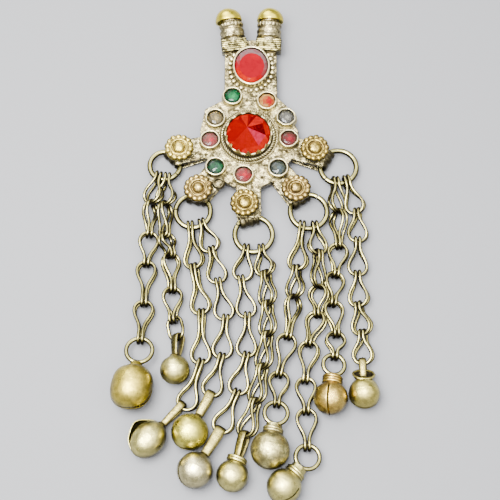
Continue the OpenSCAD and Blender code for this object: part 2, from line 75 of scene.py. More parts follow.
# %% Make an object from corners and faces
def new_piece(name, corners, faces, edges=()):
    """An object made from corners in millimetres."""
    mesh = bpy.data.meshes.new(name)
    mesh.from_pydata([Vector(c) * MM for c in corners], list(edges), list(faces))
    mesh.update()
    for polygon in mesh.polygons:
        polygon.use_smooth = True
    piece = bpy.data.objects.new(name, mesh)
    bpy.context.scene.collection.objects.link(piece)
    return piece


def turn_faces_out(piece):
    """Merges doubled corners and points every face outwards."""
    mesh = piece.data
    work = bmesh.new()
    work.from_mesh(mesh)
    bmesh.ops.remove_doubles(work, verts=work.verts, dist=0.002 * MM)
    bmesh.ops.recalc_face_normals(work, faces=work.faces)
    work.to_mesh(mesh)
    work.free()
    mesh.update()


def bake_modifiers(piece):
    """Replaces a piece's mesh by what its modifiers make of it, and removes them."""
    graph = bpy.context.evaluated_depsgraph_get()
    made = bpy.data.meshes.new_from_object(piece.evaluated_get(graph), depsgraph=graph)
    piece.modifiers.clear()
    piece.data = made


def hand_in(piece, nodes, material):
    """Gives a finished piece its material, hangs it on the root body and hides the nodes of the frame that it
    stands for.
    """
    piece.data.materials.clear()
    piece.data.materials.append(material)
    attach(piece, "root")
    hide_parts(*nodes)
    print(piece.name, len(piece.data.polygons), "faces")


# %% [markdown]
# Turned work, such as domes, cups and posts, is a profile swept round an axis. The profile's points are a
# radius and a height, and a first or last radius of zero closes the end. A small wobble keeps hand work
# from looking machined.

# %% Turn a profile round an axis
def lathe(profile, sides=48, wobble=0.0, seed=0.0, wave=0.0, waves=0):
    """Corners and faces of a turned shape. wave scallops the radius, waves times round."""
    corners, faces, rings = [], [], []
    for radius, height in profile:
        if radius < 1e-6:
            rings.append([len(corners)])
            corners.append(Vector((0, 0, height)))
            continue
        ring = []
        for i in range(sides):
            a = 2 * math.pi * i / sides
            place = Vector((math.cos(a), math.sin(a), height * 0.4 + seed))
            r = radius + wobble * noise.noise(place * 1.7) + wave * math.cos(waves * a)
            ring.append(len(corners))
            corners.append(Vector((r * math.cos(a), r * math.sin(a), height)))
        rings.append(ring)
    for low, high in zip(rings, rings[1:]):
        for i in range(sides):
            j = (i + 1) % sides
            if len(low) == 1 and len(high) > 1:
                faces.append((low[0], high[j], high[i]))
            elif len(high) == 1 and len(low) > 1:
                faces.append((low[i], low[j], high[0]))
            elif len(low) > 1:
                faces.append((low[i], low[j], high[j], high[i]))
    return corners, faces


def arc(cx, cz, r, start, end, steps):
    """Points of an arc in a profile, with its angles in degrees."""
    turns = [math.radians(start + (end - start) * i / steps) for i in range(steps + 1)]
    return [(cx + r * math.cos(t), cz + r * math.sin(t)) for t in turns]


def moved(corners, matrix):
    """Corners after a placing matrix."""
    return [matrix @ Vector(c) for c in corners]


def joined(parts):
    """One list of corners and faces from several."""
    corners, faces = [], []
    for some, more in parts:
        start = len(corners)
        corners.extend(some)
        faces.extend(tuple(i + start for i in face) for face in more)
    return corners, faces


def spun(degrees, axis):
    return Matrix.Rotation(math.radians(degrees), 4, axis)


# %% [markdown]
# ## Metal finishes
# All the metal here is old. Its high places are rubbed bright, its hollows hold a brown patina, and its
# surface has casting pits and fine scratches. One recipe mixes these from noise and from ambient occlusion,
# which tells how deep in a hollow a point lies. It also paints shade on faces that turn upright or down, as
# if they mirrored a dark room. The helpers below add a node, a colour ramp or a colour mix to a material.

# %% Helpers for shader nodes
def node(tree, kind, place, **values):
    """A shader node with some of its properties and inputs set."""
    made = tree.nodes.new(kind)
    made.location = place
    for key, value in values.items():
        if hasattr(made, key):
            setattr(made, key, value)
        else:
            made.inputs[key.replace("_", " ")].default_value = value
    return made


def ramp(tree, place, stops, source):
    """A colour ramp fed by a socket; stops are (position, grey or colour)."""
    made = tree.nodes.new("ShaderNodeValToRGB")
    made.location = place
    elements = made.color_ramp.elements
    while len(elements) < len(stops):
        elements.new(0.5)
    for element, (position, tone) in zip(elements, stops):
        element.position = position
        element.color = (*tone, 1) if isinstance(tone, tuple) else (tone, tone, tone, 1)
    tree.links.new(source, made.inputs["Fac"])
    return made.outputs["Color"]


def mixed(tree, place, factor, first, second, how="MIX"):
    """A colour mix; first and second are sockets or colours."""
    made = tree.nodes.new("ShaderNodeMix")
    made.location = place
    made.data_type = "RGBA"
    made.blend_type = how
    for key, value in (("Factor", factor), ("A", first), ("B", second)):
        socket = made.inputs[key]
        if isinstance(value, bpy.types.NodeSocket):
            tree.links.new(value, socket)
        elif isinstance(value, tuple):
            socket.default_value = (*value, 1)
        else:
            socket.default_value = value
    return made.outputs["Result"]


def start_material(name):
    """A material with an empty Principled surface."""
    made = bpy.data.materials.new(name)
    made.use_nodes = True
    return made, made.node_tree, made.node_tree.nodes["Principled BSDF"]


# %% [markdown]
# Old silver looks lively because marks of several sizes lie over each other: patches a few millimetres
# wide, blotches, casting pits and a fine grain. A ramp over the surface's own direction darkens walls that
# stand upright and faces that turn down: this is painted shade, as if they mirrored a dark room. Each metal
# is this recipe with its own colours and numbers.

# %% Worn metal
BROWN = (0.06, 0.042, 0.02)
GRAIN_SIZE, BLOT_SIZE, SMEAR_SIZE = 0.35, 1.5, 7.0


def worn_metal(name, bright, dull, rough, patch, pits, grain, depth, pit_size=0.9, hollow=0.9, side=0.5,
               stain=0.0, relief=0.45, wave=0.3, turn=0.75, fade=0.1, patina=BROWN):
    """Old metal, from its colours where it is rubbed and where it is dull.

    patch is the size of its colour patches, pit_size that of its pits and depth how far a hollow reaches, in
    millimetres. pits, grain and stain say how dark pits, grain and blotches are, and a high hollow spreads
    the patina. side is how bright upright walls stay, and between turn and fade a surface darkens as it
    turns upright: this is painted shade. relief is how deep the pits look and wave how uneven the sheet is.
    """
    made, tree, surface = start_material(name)
    where = node(tree, "ShaderNodeTexCoord", (-1400, 0))
    patches = node(tree, "ShaderNodeTexNoise", (-1200, 300), Scale=1 / (patch * MM), Detail=5.0,
                   Roughness=0.62)
    fine = node(tree, "ShaderNodeTexNoise", (-1200, 60), Scale=1 / (GRAIN_SIZE * MM), Detail=4.0,
                Roughness=0.7)
    holes = node(tree, "ShaderNodeTexVoronoi", (-1200, -200), Scale=1 / (pit_size * MM), Randomness=1.0)
    smear = node(tree, "ShaderNodeTexNoise", (-1200, -460), Scale=1 / (SMEAR_SIZE * MM), Detail=2.0)
    blots = node(tree, "ShaderNodeTexNoise", (-1200, 560), Scale=1 / (BLOT_SIZE * MM), Detail=6.0,
                 Roughness=0.72)
    for texture in (patches, fine, holes, smear, blots):
        tree.links.new(where.outputs["Object"], texture.inputs["Vector"])
    deep = node(tree, "ShaderNodeAmbientOcclusion", (-1200, -700), samples=8, Distance=depth * MM)
    open_part = ramp(tree, (-900, -700), [(0.25, 0.0), (hollow, 1.0)], deep.outputs["AO"])
    patch_tone = ramp(tree, (-900, 300), [(0.36, 0.0), (0.66, 1.0)], patches.outputs["Fac"])
    pit_tone = ramp(tree, (-900, -200), [(0.06, 0.0), (0.2, 1.0)], holes.outputs["Distance"])
    pitted_part = ramp(tree, (-900, -460), [(0.42, 0.0), (0.62, 1.0)], smear.outputs["Fac"])
    clean = ramp(tree, (-900, 560), [(0.44, 1.0 - stain), (0.56, 1.0)], blots.outputs["Fac"])
    # Painted shade: a ramp over the normal's height darkens faces that turn upright or down.
    upright = node(tree, "ShaderNodeSeparateXYZ", (-1200, -900))
    tree.links.new(where.outputs["Normal"], upright.inputs[0])
    painted_side_shade = ramp(tree, (-900, -900), [(fade, side), (turn, 1.0)], upright.outputs["Z"])

    base = mixed(tree, (-600, 300), patch_tone, dull, bright)
    grainy = mixed(tree, (-450, 200), grain, base, fine.outputs["Fac"], "OVERLAY")
    pit_mask = mixed(tree, (-700, -250), pitted_part, (1.0, 1.0, 1.0), pit_tone)
    pitted = mixed(tree, (-300, 120), pits, grainy, pit_mask, "MULTIPLY")
    blotched = mixed(tree, (-300, 300), 1.0, pitted, clean, "MULTIPLY")
    shaded = mixed(tree, (-200, 200), 1.0, blotched, painted_side_shade, "MULTIPLY")
    worn = mixed(tree, (-150, 60), open_part, patina, shaded)
    tree.links.new(worn, surface.inputs["Base Color"])
    surface.inputs["Metallic"].default_value = 1.0

    matt, polished = min(1.0, rough + 0.16), max(0.05, rough - 0.1)
    gloss = ramp(tree, (-450, -120), [(0.3, matt), (0.7, polished)], patches.outputs["Fac"])
    dullest = mixed(tree, (-250, -120), open_part, (0.75, 0.75, 0.75), gloss)
    tree.links.new(dullest, surface.inputs["Roughness"])
    bump = node(tree, "ShaderNodeBump", (-250, -420), Strength=relief, Distance=0.08 * MM)
    height = mixed(tree, (-450, -420), 0.6, fine.outputs["Fac"], pit_mask, "MULTIPLY")
    tree.links.new(height, bump.inputs["Height"])
    beaten = node(tree, "ShaderNodeBump", (-50, -420), Strength=wave, Distance=0.2 * MM)
    tree.links.new(blots.outputs["Fac"], beaten.inputs["Height"])
    tree.links.new(bump.outputs["Normal"], beaten.inputs["Normal"])
    tree.links.new(beaten.outputs["Normal"], surface.inputs["Normal"])
    return made


# %% [markdown]
# ## Camera, lights and floor
# The photograph looks down steeply at a pendant that lies on its back, so the camera stands 20 degrees off
# the vertical, about 31 cm away. A soft box hangs overhead, a little to the left, under a wide bright
# ceiling, and a weaker light stands behind on the left. Bright metal mostly shows what it mirrors, so the
# size and place of these lights decide how the wire and bells look.

# %% Camera and lights
TARGET = drawn(0, 0, 4)
TILT = math.radians(20)
DISTANCE = 310.0
SENSOR_W, LENS = 36.0, 74.4
# Each light: its place, its width in millimetres and its power in watts
LIGHTS = {"soft_box": ((-90, -40, 400), 245, 7.4), "wide_ceiling": ((0, -10, 440), 1000, 9.4),
          "back": ((-150, 380, 260), 300, 1.6)}
WORLD_STRENGTH = 0.6


def look_at(thing, place, target):
    """Puts a camera or light at a place, turned to a target."""
    thing.location = place * MM
    thing.rotation_euler = (target - place).to_track_quat("-Z", "Y").to_euler()


camera = bpy.data.objects.new("camera", bpy.data.cameras.new("camera"))
camera.data.sensor_width = SENSOR_W
camera.data.lens = LENS
camera.data.clip_start = 0.01
look_at(camera, TARGET + DISTANCE * Vector((0, -math.sin(TILT), math.cos(TILT))), TARGET)
bpy.context.scene.collection.objects.link(camera)
bpy.context.scene.camera = camera

for name, (place, width, power) in LIGHTS.items():
    lamp = bpy.data.objects.new(name, bpy.data.lights.new(name, "AREA"))
    lamp.data.shape = "DISK"
    lamp.data.size = width * MM
    lamp.data.energy = power
    look_at(lamp, Vector(place), TARGET)
    bpy.context.scene.collection.objects.link(lamp)

world = bpy.data.worlds.new("studio")
world.use_nodes = True
world.node_tree.nodes["Background"].inputs["Color"].default_value = (1, 1, 1, 1)
world.node_tree.nodes["Background"].inputs["Strength"].default_value = WORLD_STRENGTH
bpy.context.scene.world = world
print("camera at", [round(v, 3) for v in camera.location])

# %% [markdown]
# The pendant lies on smooth grey card. The card is a plain square, wide enough that its edge stays far
# away.

# %% Floor
FLOOR_HALF = 2500
floor = new_piece("floor", [(-FLOOR_HALF, -FLOOR_HALF, 0), (FLOOR_HALF, -FLOOR_HALF, 0),
                            (FLOOR_HALF, FLOOR_HALF, 0), (-FLOOR_HALF, FLOOR_HALF, 0)], [(0, 1, 2, 3)])
paper, tree, surface = start_material("floor_paper")
surface.inputs["Base Color"].default_value = (0.19, 0.192, 0.2, 1)
surface.inputs["Roughness"].default_value = 0.8
floor.data.materials.append(paper)
print("floor width in mm:", 2 * FLOOR_HALF)

# %% [markdown]
# ## The plate
# The real plate is a slab with a soldered neck and five arms, each a strip that ends in a rolled and
# grooved loop. Solder has run over all of it, so no edge is sharp. The slabs are made as plain closed
# shapes that run into each other, a voxel remesh melts them into one skin as solder does, and noise then
# moves the skin a little to give it the look of old cast metal.

# %% Outline of the plate and places on it
FACE_Z = 5.2
PLATE_T, NECK_T, ARM_T = 2.6, 1.6, 1.0
PLATE = [(-8.1, 52), (-8.1, 50), (-14.1, 46.7), (-15.5, 39.5), (-14.7, 30.9), (-7.6, 21.9), (-5.2, 20.2),
         (3.6, 20.2), (6.6, 21.9), (13.9, 30.6), (15.2, 38.6), (11.6, 47.9), (8.5, 51), (8.5, 52)]
NECK = [(-8.1, 48), (8.5, 48), (8.5, 71.6), (-8.1, 71.6)]
CUP = (-0.5, 37.1)
BOSSES = [(-21.8, 32.4), (-15.7, 18.9), (-1.6, 14.1), (14, 18.9), (20, 32.2)]
BOSS = [(0, -0.4), (3.2, -0.4), (3.1, 0.9), (2.9, 1.1), (0, 1.1)]
# Each jump ring: its middle, its radius, the way from its middle to its loop, and the way to its cut
RINGS = [(-26.4, 28.4, 4.7, 44, 320), (-17.4, 13, 5.3, 77, 175), (1.1, 5.5, 5.7, 107, 150),
         (17.9, 13, 5.6, 124, 60), (27.4, 27.9, 5.6, 149, 225)]
RING_Z = 2.5


def slab(outline, low, high):
    """A closed slab from an outline in drawn millimetres."""
    n = len(outline)
    corners = [drawn(x, y, low) for x, y in outline] + [drawn(x, y, high) for x, y in outline]
    sides = [(i, (i + 1) % n, n + (i + 1) % n, n + i) for i in range(n)]
    return corners, [tuple(range(n))[::-1], tuple(range(n, 2 * n))] + sides


def box_between(low, high, matrix):
    """A closed box between two corners, placed by a matrix."""
    x, y, z = zip(low, high)
    corners = [matrix @ Vector((x[i], y[j], z[k])) for k in (0, 1) for j in (0, 1) for i in (0, 1)]
    return corners, [(0, 2, 3, 1), (4, 5, 7, 6), (0, 1, 5, 4), (1, 3, 7, 5), (3, 2, 6, 7), (2, 0, 4, 6)]


print("plate corners:", len(PLATE), "arms:", len(RINGS))

# %% [markdown]
# An arm's strip curls into a loop that holds a jump ring, and runs back under itself to the plate. Two
# grooves part the loop into three bands, so it is turned from a profile with three low humps.

# %% One loop
LOOP_R, LOOP_L, LOOP_BORE = 2.4, 5.8, 1.82
LOOP_BANDS = ((-2.9, -1.05), (-0.5, 1.35), (1.9, 2.9))
GROOVE, HUMP = 0.34, 0.16


def loop_middle(ring):
    """The middle of the loop that holds a ring."""
    x, y, r, turn, _ = ring
    out = 0.4 * r + 0.6 * math.sqrt(r * r - LOOP_L * LOOP_L / 4)
    return x + out * math.cos(math.radians(turn)), y + out * math.sin(math.radians(turn))


def grooved_loop(seed):
    """A loop's tube round the z axis."""
    outside = []
    for low, high in LOOP_BANDS:
        outside.append((LOOP_R - GROOVE, low + 0.02))
        for t in (0, 0.25, 0.5, 0.75, 1):
            outside.append((LOOP_R - HUMP + HUMP * math.sin(math.pi * t), low + 0.1 + (high - low - 0.2) * t))
        outside.append((LOOP_R - GROOVE, high - 0.02))
    inside = [(LOOP_BORE, LOOP_L / 2 - 0.02), (LOOP_BORE, -LOOP_L / 2 + 0.02)]
    return lathe(outside + inside + [outside[0]], 44, 0.06, seed)


print("first loop at", [round(v, 1) for v in loop_middle(RINGS[0])])

# %% [markdown]
# Each arm aims from the centre cup at its loop. The plate, the neck, the arms and the bosses are melted
# together, and the strips that run back underneath stay a piece of their own.

# %% Solder the plate together
ARM_FROM, ARM_W, ARM_PAST = 8, 7.6, 0.4
BACK_FROM, BACK_W, BACK_T = 12, 7.0, 0.5


def melt(piece, voxel):
    """Turns shapes that run into each other into one skin."""
    turn_faces_out(piece)
    remesh = piece.modifiers.new("melt", "REMESH")
    remesh.mode = "VOXEL"
    remesh.voxel_size = voxel * MM
    bake_modifiers(piece)
    print(piece.name, "skin:", len(piece.data.vertices), "corners")


solder = [slab(PLATE, FACE_Z - PLATE_T, FACE_Z), slab(NECK, FACE_Z - NECK_T, FACE_Z)]
strips, loops = [], []
for ring, boss in zip(RINGS, BOSSES):
    x, y = loop_middle(ring)
    reach = math.hypot(x - CUP[0], y - CUP[1])
    aim = math.degrees(math.atan2(y - CUP[1], x - CUP[0]))
    along = Matrix.Translation(drawn(*CUP, FACE_Z)) @ spun(aim, "Z")
    solder.append(box_between((ARM_FROM, -ARM_W / 2, -ARM_T), (reach + ARM_PAST, ARM_W / 2, 0), along))
    corners, faces = lathe(BOSS, 40)
    solder.append((moved(corners, Matrix.Translation(drawn(*boss, FACE_Z))), faces))
    corners, faces = grooved_loop(x)
    lying = Matrix.Translation(drawn(x, y, LOOP_R)) @ spun(ring[3], "Z") @ spun(90, "X")
    loops.append((moved(corners, lying), faces))
    leg = reach - BACK_FROM
    rise = math.degrees(math.asin(PLATE_T / leg))
    under = Matrix.Translation(drawn(x, y, 0.05)) @ spun(aim, "Z") @ spun(rise, "Y")
    strips.append(box_between((-leg, -BACK_W / 2, 0), (-0.2, BACK_W / 2, BACK_T), under))
plate = new_piece("soldered_plate", *joined(solder))
melt(plate, 0.27)

# %% [markdown]
# The skin is then worked over. A pass that pulls each corner toward its neighbours softens the voxel steps,
# and noise of several sizes along the surface's own direction adds hammer marks, solder lumps and casting
# grain.

# %% Soften and roughen the skin
def roughen(piece, soften, lumps, seed=0.0):
    """Smooths a mesh, then moves it along its normals; lumps are (size, depth) in millimetres."""
    work = bmesh.new()
    work.from_mesh(piece.data)
    for _ in range(soften):
        bmesh.ops.smooth_vert(work, verts=work.verts, factor=0.5, use_axis_x=True, use_axis_y=True,
                              use_axis_z=True)
    work.normal_update()
    shifts = []
    for vert in work.verts:
        place = vert.co / MM + Vector((seed, seed * 0.7, seed * 1.3))
        depth = sum(deep * noise.noise(place / wide) for wide, deep in lumps)
        shifts.append(vert.normal * depth * MM)
    for vert, shift in zip(work.verts, shifts):
        vert.co += shift
    work.to_mesh(piece.data)
    work.free()
    for polygon in piece.data.polygons:
        polygon.use_smooth = True


BOSS_TOP = FACE_Z + 1.25
roughen(plate, 1, [(2.6, 0.14), (0.9, 0.09), (0.5, 0.05)])
for vert in plate.data.vertices:
    vert.co.z = min(vert.co.z, BOSS_TOP * MM)
    vert.co.z = max(vert.co.z, 0.02 * MM)

# %% [markdown]
# The plate's silver is the most worn of all, full of pits and dark blotches. The loops' silver is made
# nearly black.

# %% Silver of the plate and of its loops
old_silver = worn_metal("old_silver", (0.97, 0.83, 0.4), (0.2, 0.155, 0.075), rough=0.27, patch=1.1, pits=0.9,
                        grain=0.8, depth=0.9, pit_size=0.8, hollow=0.82, side=0.3, stain=0.9, relief=1.0,
                        wave=1.7)
loop_silver = worn_metal("loop_silver", (0.19, 0.16, 0.08), (0.055, 0.045, 0.024), rough=0.36, patch=1.0,
                         pits=0.5, grain=0.5, depth=0.6, hollow=0.85, side=0.2, stain=0.6, relief=0.6,
                         wave=0.6)
hand_in(plate, ["body"], old_silver)

arm_backs = new_piece("arm_backs", *joined(strips))
melt(arm_backs, 0.2)
roughen(arm_backs, 1, [(2.2, 0.07), (0.7, 0.03)], 5.0)
hand_in(arm_backs, ["body"], old_silver)

arm_loops = new_piece("arm_loops", *joined(loops))
turn_faces_out(arm_loops)
roughen(arm_loops, 0, [(0.9, 0.06)], 8.0)
arm_loops.data.set_sharp_from_angle(angle=math.radians(55))
hand_in(arm_loops, ["body"], loop_silver)

# %% [markdown]
# ## Trees of geometry nodes
# Wire, grains, coils and rings repeat all over the pendant. Each is a small tree with named inputs, so one
# recipe serves many sizes. A helper builds a tree's sockets, and another runs it and keeps the plain mesh.

# %% Helpers for node trees
SOCKETS = {"length": "NodeSocketFloat", "number": "NodeSocketFloat", "count": "NodeSocketInt",
           "metal": "NodeSocketMaterial", "shape": "NodeSocketGeometry"}


def start_tree(name, inputs):
    """A tree with one shape as its output and with inputs, given as a name and a kind each."""
    made = bpy.data.node_groups.new(name, "GeometryNodeTree")
    made.interface.new_socket("Shape", in_out="OUTPUT", socket_type="NodeSocketGeometry")
    for title, kind in inputs.items():
        made.interface.new_socket(title, in_out="INPUT", socket_type=SOCKETS[kind])
    return made, made.nodes.new("NodeGroupInput").outputs


def step(tree, kind, sockets=(), **settings):
    """Adds a node and gives its first output. sockets maps an input's name or number to a value or socket."""
    made = tree.nodes.new(kind)
    for key, value in settings.items():
        setattr(made, key, value)
    for key, value in dict(sockets).items():
        socket = made.inputs[key]
        if isinstance(value, bpy.types.NodeSocket):
            tree.links.new(value, socket)
        else:
            socket.default_value = value
    return made.outputs[0]


def sums(tree, how, *values):
    """One Math node; values are numbers or sockets."""
    return step(tree, "ShaderNodeMath", dict(enumerate(values)), operation=how)


def end_tree(tree, shape, metal):
    """Smooth shading, real geometry and a metal: the end of every tree here."""
    smooth = step(tree, "GeometryNodeSetShadeSmooth", {"Geometry": shape})
    real = step(tree, "GeometryNodeRealizeInstances", {"Geometry": smooth})
    last = step(tree, "GeometryNodeSetMaterial", {"Geometry": real, "Material": metal})
    tree.links.new(last, tree.nodes.new("NodeGroupOutput").inputs[0])
    print("tree:", tree.name)
    return tree


def run_tree(piece, tree, **values):
    """Runs a tree on a piece, keeps the mesh and drops the modifier. Lengths are in metres here."""
    work = piece.modifiers.new("nodes", "NODES")
    work.node_group = tree
    for item in tree.interface.items_tree:
        key = item.name.replace(" ", "_").lower()
        if item.in_out == "INPUT" and key in values:
            work[item.identifier] = values[key]
    bake_modifiers(piece)
    return piece


def empty_piece(name):
    return new_piece(name, [], [])


# %% [markdown]
# A bent wire follows a closed line of corners. The line becomes a curve with automatic handles, is divided
# into even steps, wavers by a few hundredths of a millimetre as hand-drawn wire does, and gets a round
# section.

# %% Tree: bent wire
def unevenly(tree, shape, amount, scale):
    """Moves the points of a shape by smooth noise, by up to about half of amount."""
    where = step(tree, "GeometryNodeInputPosition")
    cloud = step(tree, "ShaderNodeTexNoise", {"Vector": where, "Scale": scale, "Detail": 1.0}).node
    centred = step(tree, "ShaderNodeVectorMath", {0: cloud.outputs["Color"], 1: (0.5, 0.5, 0.5)},
                   operation="SUBTRACT")
    shift = step(tree, "ShaderNodeVectorMath", {0: centred, "Scale": amount}, operation="SCALE")
    return step(tree, "GeometryNodeSetPosition", {"Geometry": shape, "Offset": shift})


def round_wire(tree, curve, radius, sides, caps=False):
    """A round wire along a curve, with closed ends if caps is true."""
    section = step(tree, "GeometryNodeCurvePrimitiveCircle", {"Resolution": sides, "Radius": radius})
    return step(tree, "GeometryNodeCurveToMesh",
                {"Curve": curve, "Profile Curve": section, "Fill Caps": caps})


tree, given = start_tree("bent wire", {
    "Line": "shape", "Wire radius": "length", "Step": "length", "Sides": "count", "Unevenness": "length",
    "Metal": "metal"})
curve = step(tree, "GeometryNodeMeshToCurve", {"Mesh": given["Line"]})
curve = step(tree, "GeometryNodeCurveSplineType", {"Curve": curve}, spline_type="BEZIER")
curve = step(tree, "GeometryNodeCurveSetHandles", {"Curve": curve}, handle_type="AUTO")
curve = step(tree, "GeometryNodeResampleCurve", {"Curve": curve, "Length": given["Step"]}, mode="LENGTH")
curve = unevenly(tree, curve, given["Unevenness"], 110.0)
bent_wire = end_tree(tree, round_wire(tree, curve, given["Wire radius"], given["Sides"]), given["Metal"])

# %% [markdown]
# A cut ring is an arc of heavy wire whose two cut ends almost meet. The wire thins a little just at the
# cut.

# %% Tree: cut ring
tree, given = start_tree("cut ring", {
    "Ring radius": "length", "Wire radius": "length", "Opening": "number", "Unevenness": "length",
    "Metal": "metal"})
start = sums(tree, "MULTIPLY", given["Opening"], 0.5)
sweep = sums(tree, "SUBTRACT", 2 * math.pi, given["Opening"])
curve = step(tree, "GeometryNodeCurveArc", {
    "Resolution": 160, "Radius": given["Ring radius"], "Start Angle": start, "Sweep Angle": sweep},
    mode="RADIUS")
curve = unevenly(tree, curve, given["Unevenness"], 250.0)
along = step(tree, "GeometryNodeSplineParameter").node.outputs["Factor"]
from_end = sums(tree, "MINIMUM", along, sums(tree, "SUBTRACT", 1.0, along))
taper = sums(tree, "MINIMUM", 1.0, sums(tree, "ADD", 0.8, sums(tree, "MULTIPLY", from_end, 24.0)))
curve = step(tree, "GeometryNodeSetCurveRadius", {"Curve": curve, "Radius": taper})
cut_ring = end_tree(tree, round_wire(tree, curve, given["Wire radius"], 20, True), given["Metal"])

# %% [markdown]
# Twisted wire is two strands wound round each other. The section is a pair of small circles, and tilting
# the curve by a whole number of turns winds them along a ring.

# %% Tree: twisted wire
STEPS_ROUND, STRAND_APART = 480, 0.92
tree, given = start_tree("twisted wire", {
    "Ring radius": "length", "Strand radius": "length", "Turns": "number", "Metal": "metal"})
curve = step(tree, "GeometryNodeCurvePrimitiveCircle",
             {"Resolution": STEPS_ROUND, "Radius": given["Ring radius"]})
share = sums(tree, "DIVIDE", step(tree, "GeometryNodeInputIndex"), float(STEPS_ROUND))
tilt = sums(tree, "MULTIPLY", share, sums(tree, "MULTIPLY", given["Turns"], 2 * math.pi))
curve = step(tree, "GeometryNodeSetCurveTilt", {"Curve": curve, "Tilt": tilt})
strand = step(tree, "GeometryNodeCurvePrimitiveCircle", {"Resolution": 9, "Radius": given["Strand radius"]})
section = step(tree, "GeometryNodeJoinGeometry")
for side in (-STRAND_APART, STRAND_APART):
    aside = step(tree, "ShaderNodeCombineXYZ", {"X": sums(tree, "MULTIPLY", given["Strand radius"], side)})
    half = step(tree, "GeometryNodeTransform", {"Geometry": strand, "Translation": aside})
    tree.links.new(half, section.node.inputs[0])
wire = step(tree, "GeometryNodeCurveToMesh", {"Curve": curve, "Profile Curve": section})
twisted_wire = end_tree(tree, wire, given["Metal"])

# %% [markdown]
# Granulation is a row of small balls soldered round a setting. Balls are placed along an oval, each a
# little larger or smaller than the next, and those that a post would cover are left out.

# %% Tree: ring of grains
tree, given = start_tree("ring of grains", {
    "Half width": "length", "Half length": "length", "Grains": "count", "Grain radius": "length",
    "Flatness": "number", "Stretch": "number", "Spread": "number", "Seed": "count", "Post line": "length",
    "Gap": "length", "Metal": "metal"})
curve = step(tree, "GeometryNodeCurvePrimitiveCircle", {"Resolution": 128, "Radius": 1.0})
oval = step(tree, "ShaderNodeCombineXYZ", {"X": given["Half width"], "Y": given["Half length"], "Z": 1.0})
curve = step(tree, "GeometryNodeTransform", {"Geometry": curve, "Scale": oval})
points = step(tree, "GeometryNodeCurveToPoints", {"Curve": curve, "Count": given["Grains"]}, mode="COUNT")
place = step(tree, "GeometryNodeInputPosition")
where = step(tree, "ShaderNodeSeparateXYZ", {"Vector": place}).node.outputs
high = sums(tree, "GREATER_THAN", where["Y"], given["Post line"])
aside = sums(tree, "GREATER_THAN", sums(tree, "ABSOLUTE", where["X"]), given["Gap"])
points = step(tree, "GeometryNodeDeleteGeometry",
              {"Geometry": points, "Selection": sums(tree, "MULTIPLY", high, aside)}, domain="POINT")
ball = step(tree, "GeometryNodeMeshUVSphere", {"Segments": 18, "Rings": 11, "Radius": given["Grain radius"]})
flat = step(tree, "ShaderNodeCombineXYZ", {"X": given["Stretch"], "Y": 1.0, "Z": given["Flatness"]})
ball = step(tree, "GeometryNodeTransform", {"Geometry": ball, "Scale": flat})
outward = step(tree, "FunctionNodeAlignRotationToVector", {"Vector": place}, axis="X", pivot_axis="Z")
least = sums(tree, "SUBTRACT", 1.0, given["Spread"])
chance = step(tree, "FunctionNodeRandomValue", {2: least, 3: 1.0, "Seed": given["Seed"]}, data_type="FLOAT")
grains = step(tree, "GeometryNodeInstanceOnPoints", {
    "Points": points, "Instance": ball, "Rotation": outward, "Scale": chance.node.outputs[1]})
grain_ring = end_tree(tree, grains, given["Metal"])

# %% [markdown]
# A neck coil is a spiral of wire wound round a bell's neck. The spiral curve gives it in one step, and a
# little noise makes it look wound by hand.

# %% Tree: neck coil
tree, given = start_tree("neck coil", {
    "Coil radius": "length", "Wire radius": "length", "Turns": "number", "Rise": "length", "Metal": "metal"})
curve = step(tree, "GeometryNodeCurveSpiral", {
    "Resolution": 40, "Rotations": given["Turns"], "Start Radius": given["Coil radius"],
    "End Radius": given["Coil radius"], "Height": sums(tree, "MULTIPLY", given["Turns"], given["Rise"])})
curve = unevenly(tree, curve, 0.00012, 400.0)
neck_coil = end_tree(tree, round_wire(tree, curve, given["Wire radius"], 12, True), given["Metal"])

# %% [markdown]
# ## Settings
# A bezel is a strip of silver bent into a short tube round a stone, with its rim rubbed over the stone's
# edge. The rim is the brightest part, because it faces up while the upright wall gets painted shade. The
# tube is turned from a profile with a thick rounded rim, a thin wall and a foot wire that hides the solder.
# Two of the rims are cut with eight sides.

# %% Small bezels and the empty collet
SMALL = [(-5.5, 50.6), (5.3, 49), (-10.8, 42.9), (11.3, 43.2), (-12.4, 35.4), (12, 35.8), (-10.6, 26.3),
         (8.6, 25.9), (-2, 23.6)]
EIGHT_SIDED = (3, 5)
COLLET = (-9.6, 21.2)
setting_silver = worn_metal("setting_silver", (0.95, 0.86, 0.48), (0.6, 0.5, 0.25), rough=0.26, patch=2.0,
                            pits=0.25, grain=0.3, depth=0.6, hollow=0.8, side=0.3, stain=0.3)


def bezel(r, wall, height, foot, eight=False, seed=0.0):
    """A bezel from its outer radius, wall, height and foot wire, all in millimetres."""
    rim = arc(r - wall / 2, height - wall / 2, wall / 2 + 0.06, -20, 200, 8)
    foot_wire = arc(r + foot * 0.4, 0.0, foot, -60, 80, 5)
    low = (r - wall, -0.35)
    profile = [low, (r - 0.1, -0.35)] + foot_wire + rim + [(r - wall, height - wall), low]
    corners, faces = lathe(profile, 64, 0.1, seed)
    if eight:
        for corner in corners:
            a = math.atan2(corner.y, corner.x)
            inner = math.cos(math.pi / 8) / math.cos((a + math.pi / 8) % (math.pi / 4) - math.pi / 8)
            share = 0.75 * max(0.0, min(1.0, corner.z / height))
            corner.xy *= 1 + share * (inner - 1) * 0.9
    return corners, faces


def on_face(name, parts, metal, sharp=None):
    """A piece of the body from parts with their places on the plate's face. sharp is an angle in degrees."""
    placed = [(moved(corners, Matrix.Translation(drawn(*place, FACE_Z))), faces)
              for (corners, faces), place in parts]
    piece = new_piece(name, *joined(placed))
    turn_faces_out(piece)
    if sharp:
        piece.data.set_sharp_from_angle(angle=math.radians(sharp))
    hand_in(piece, ["body"], metal)


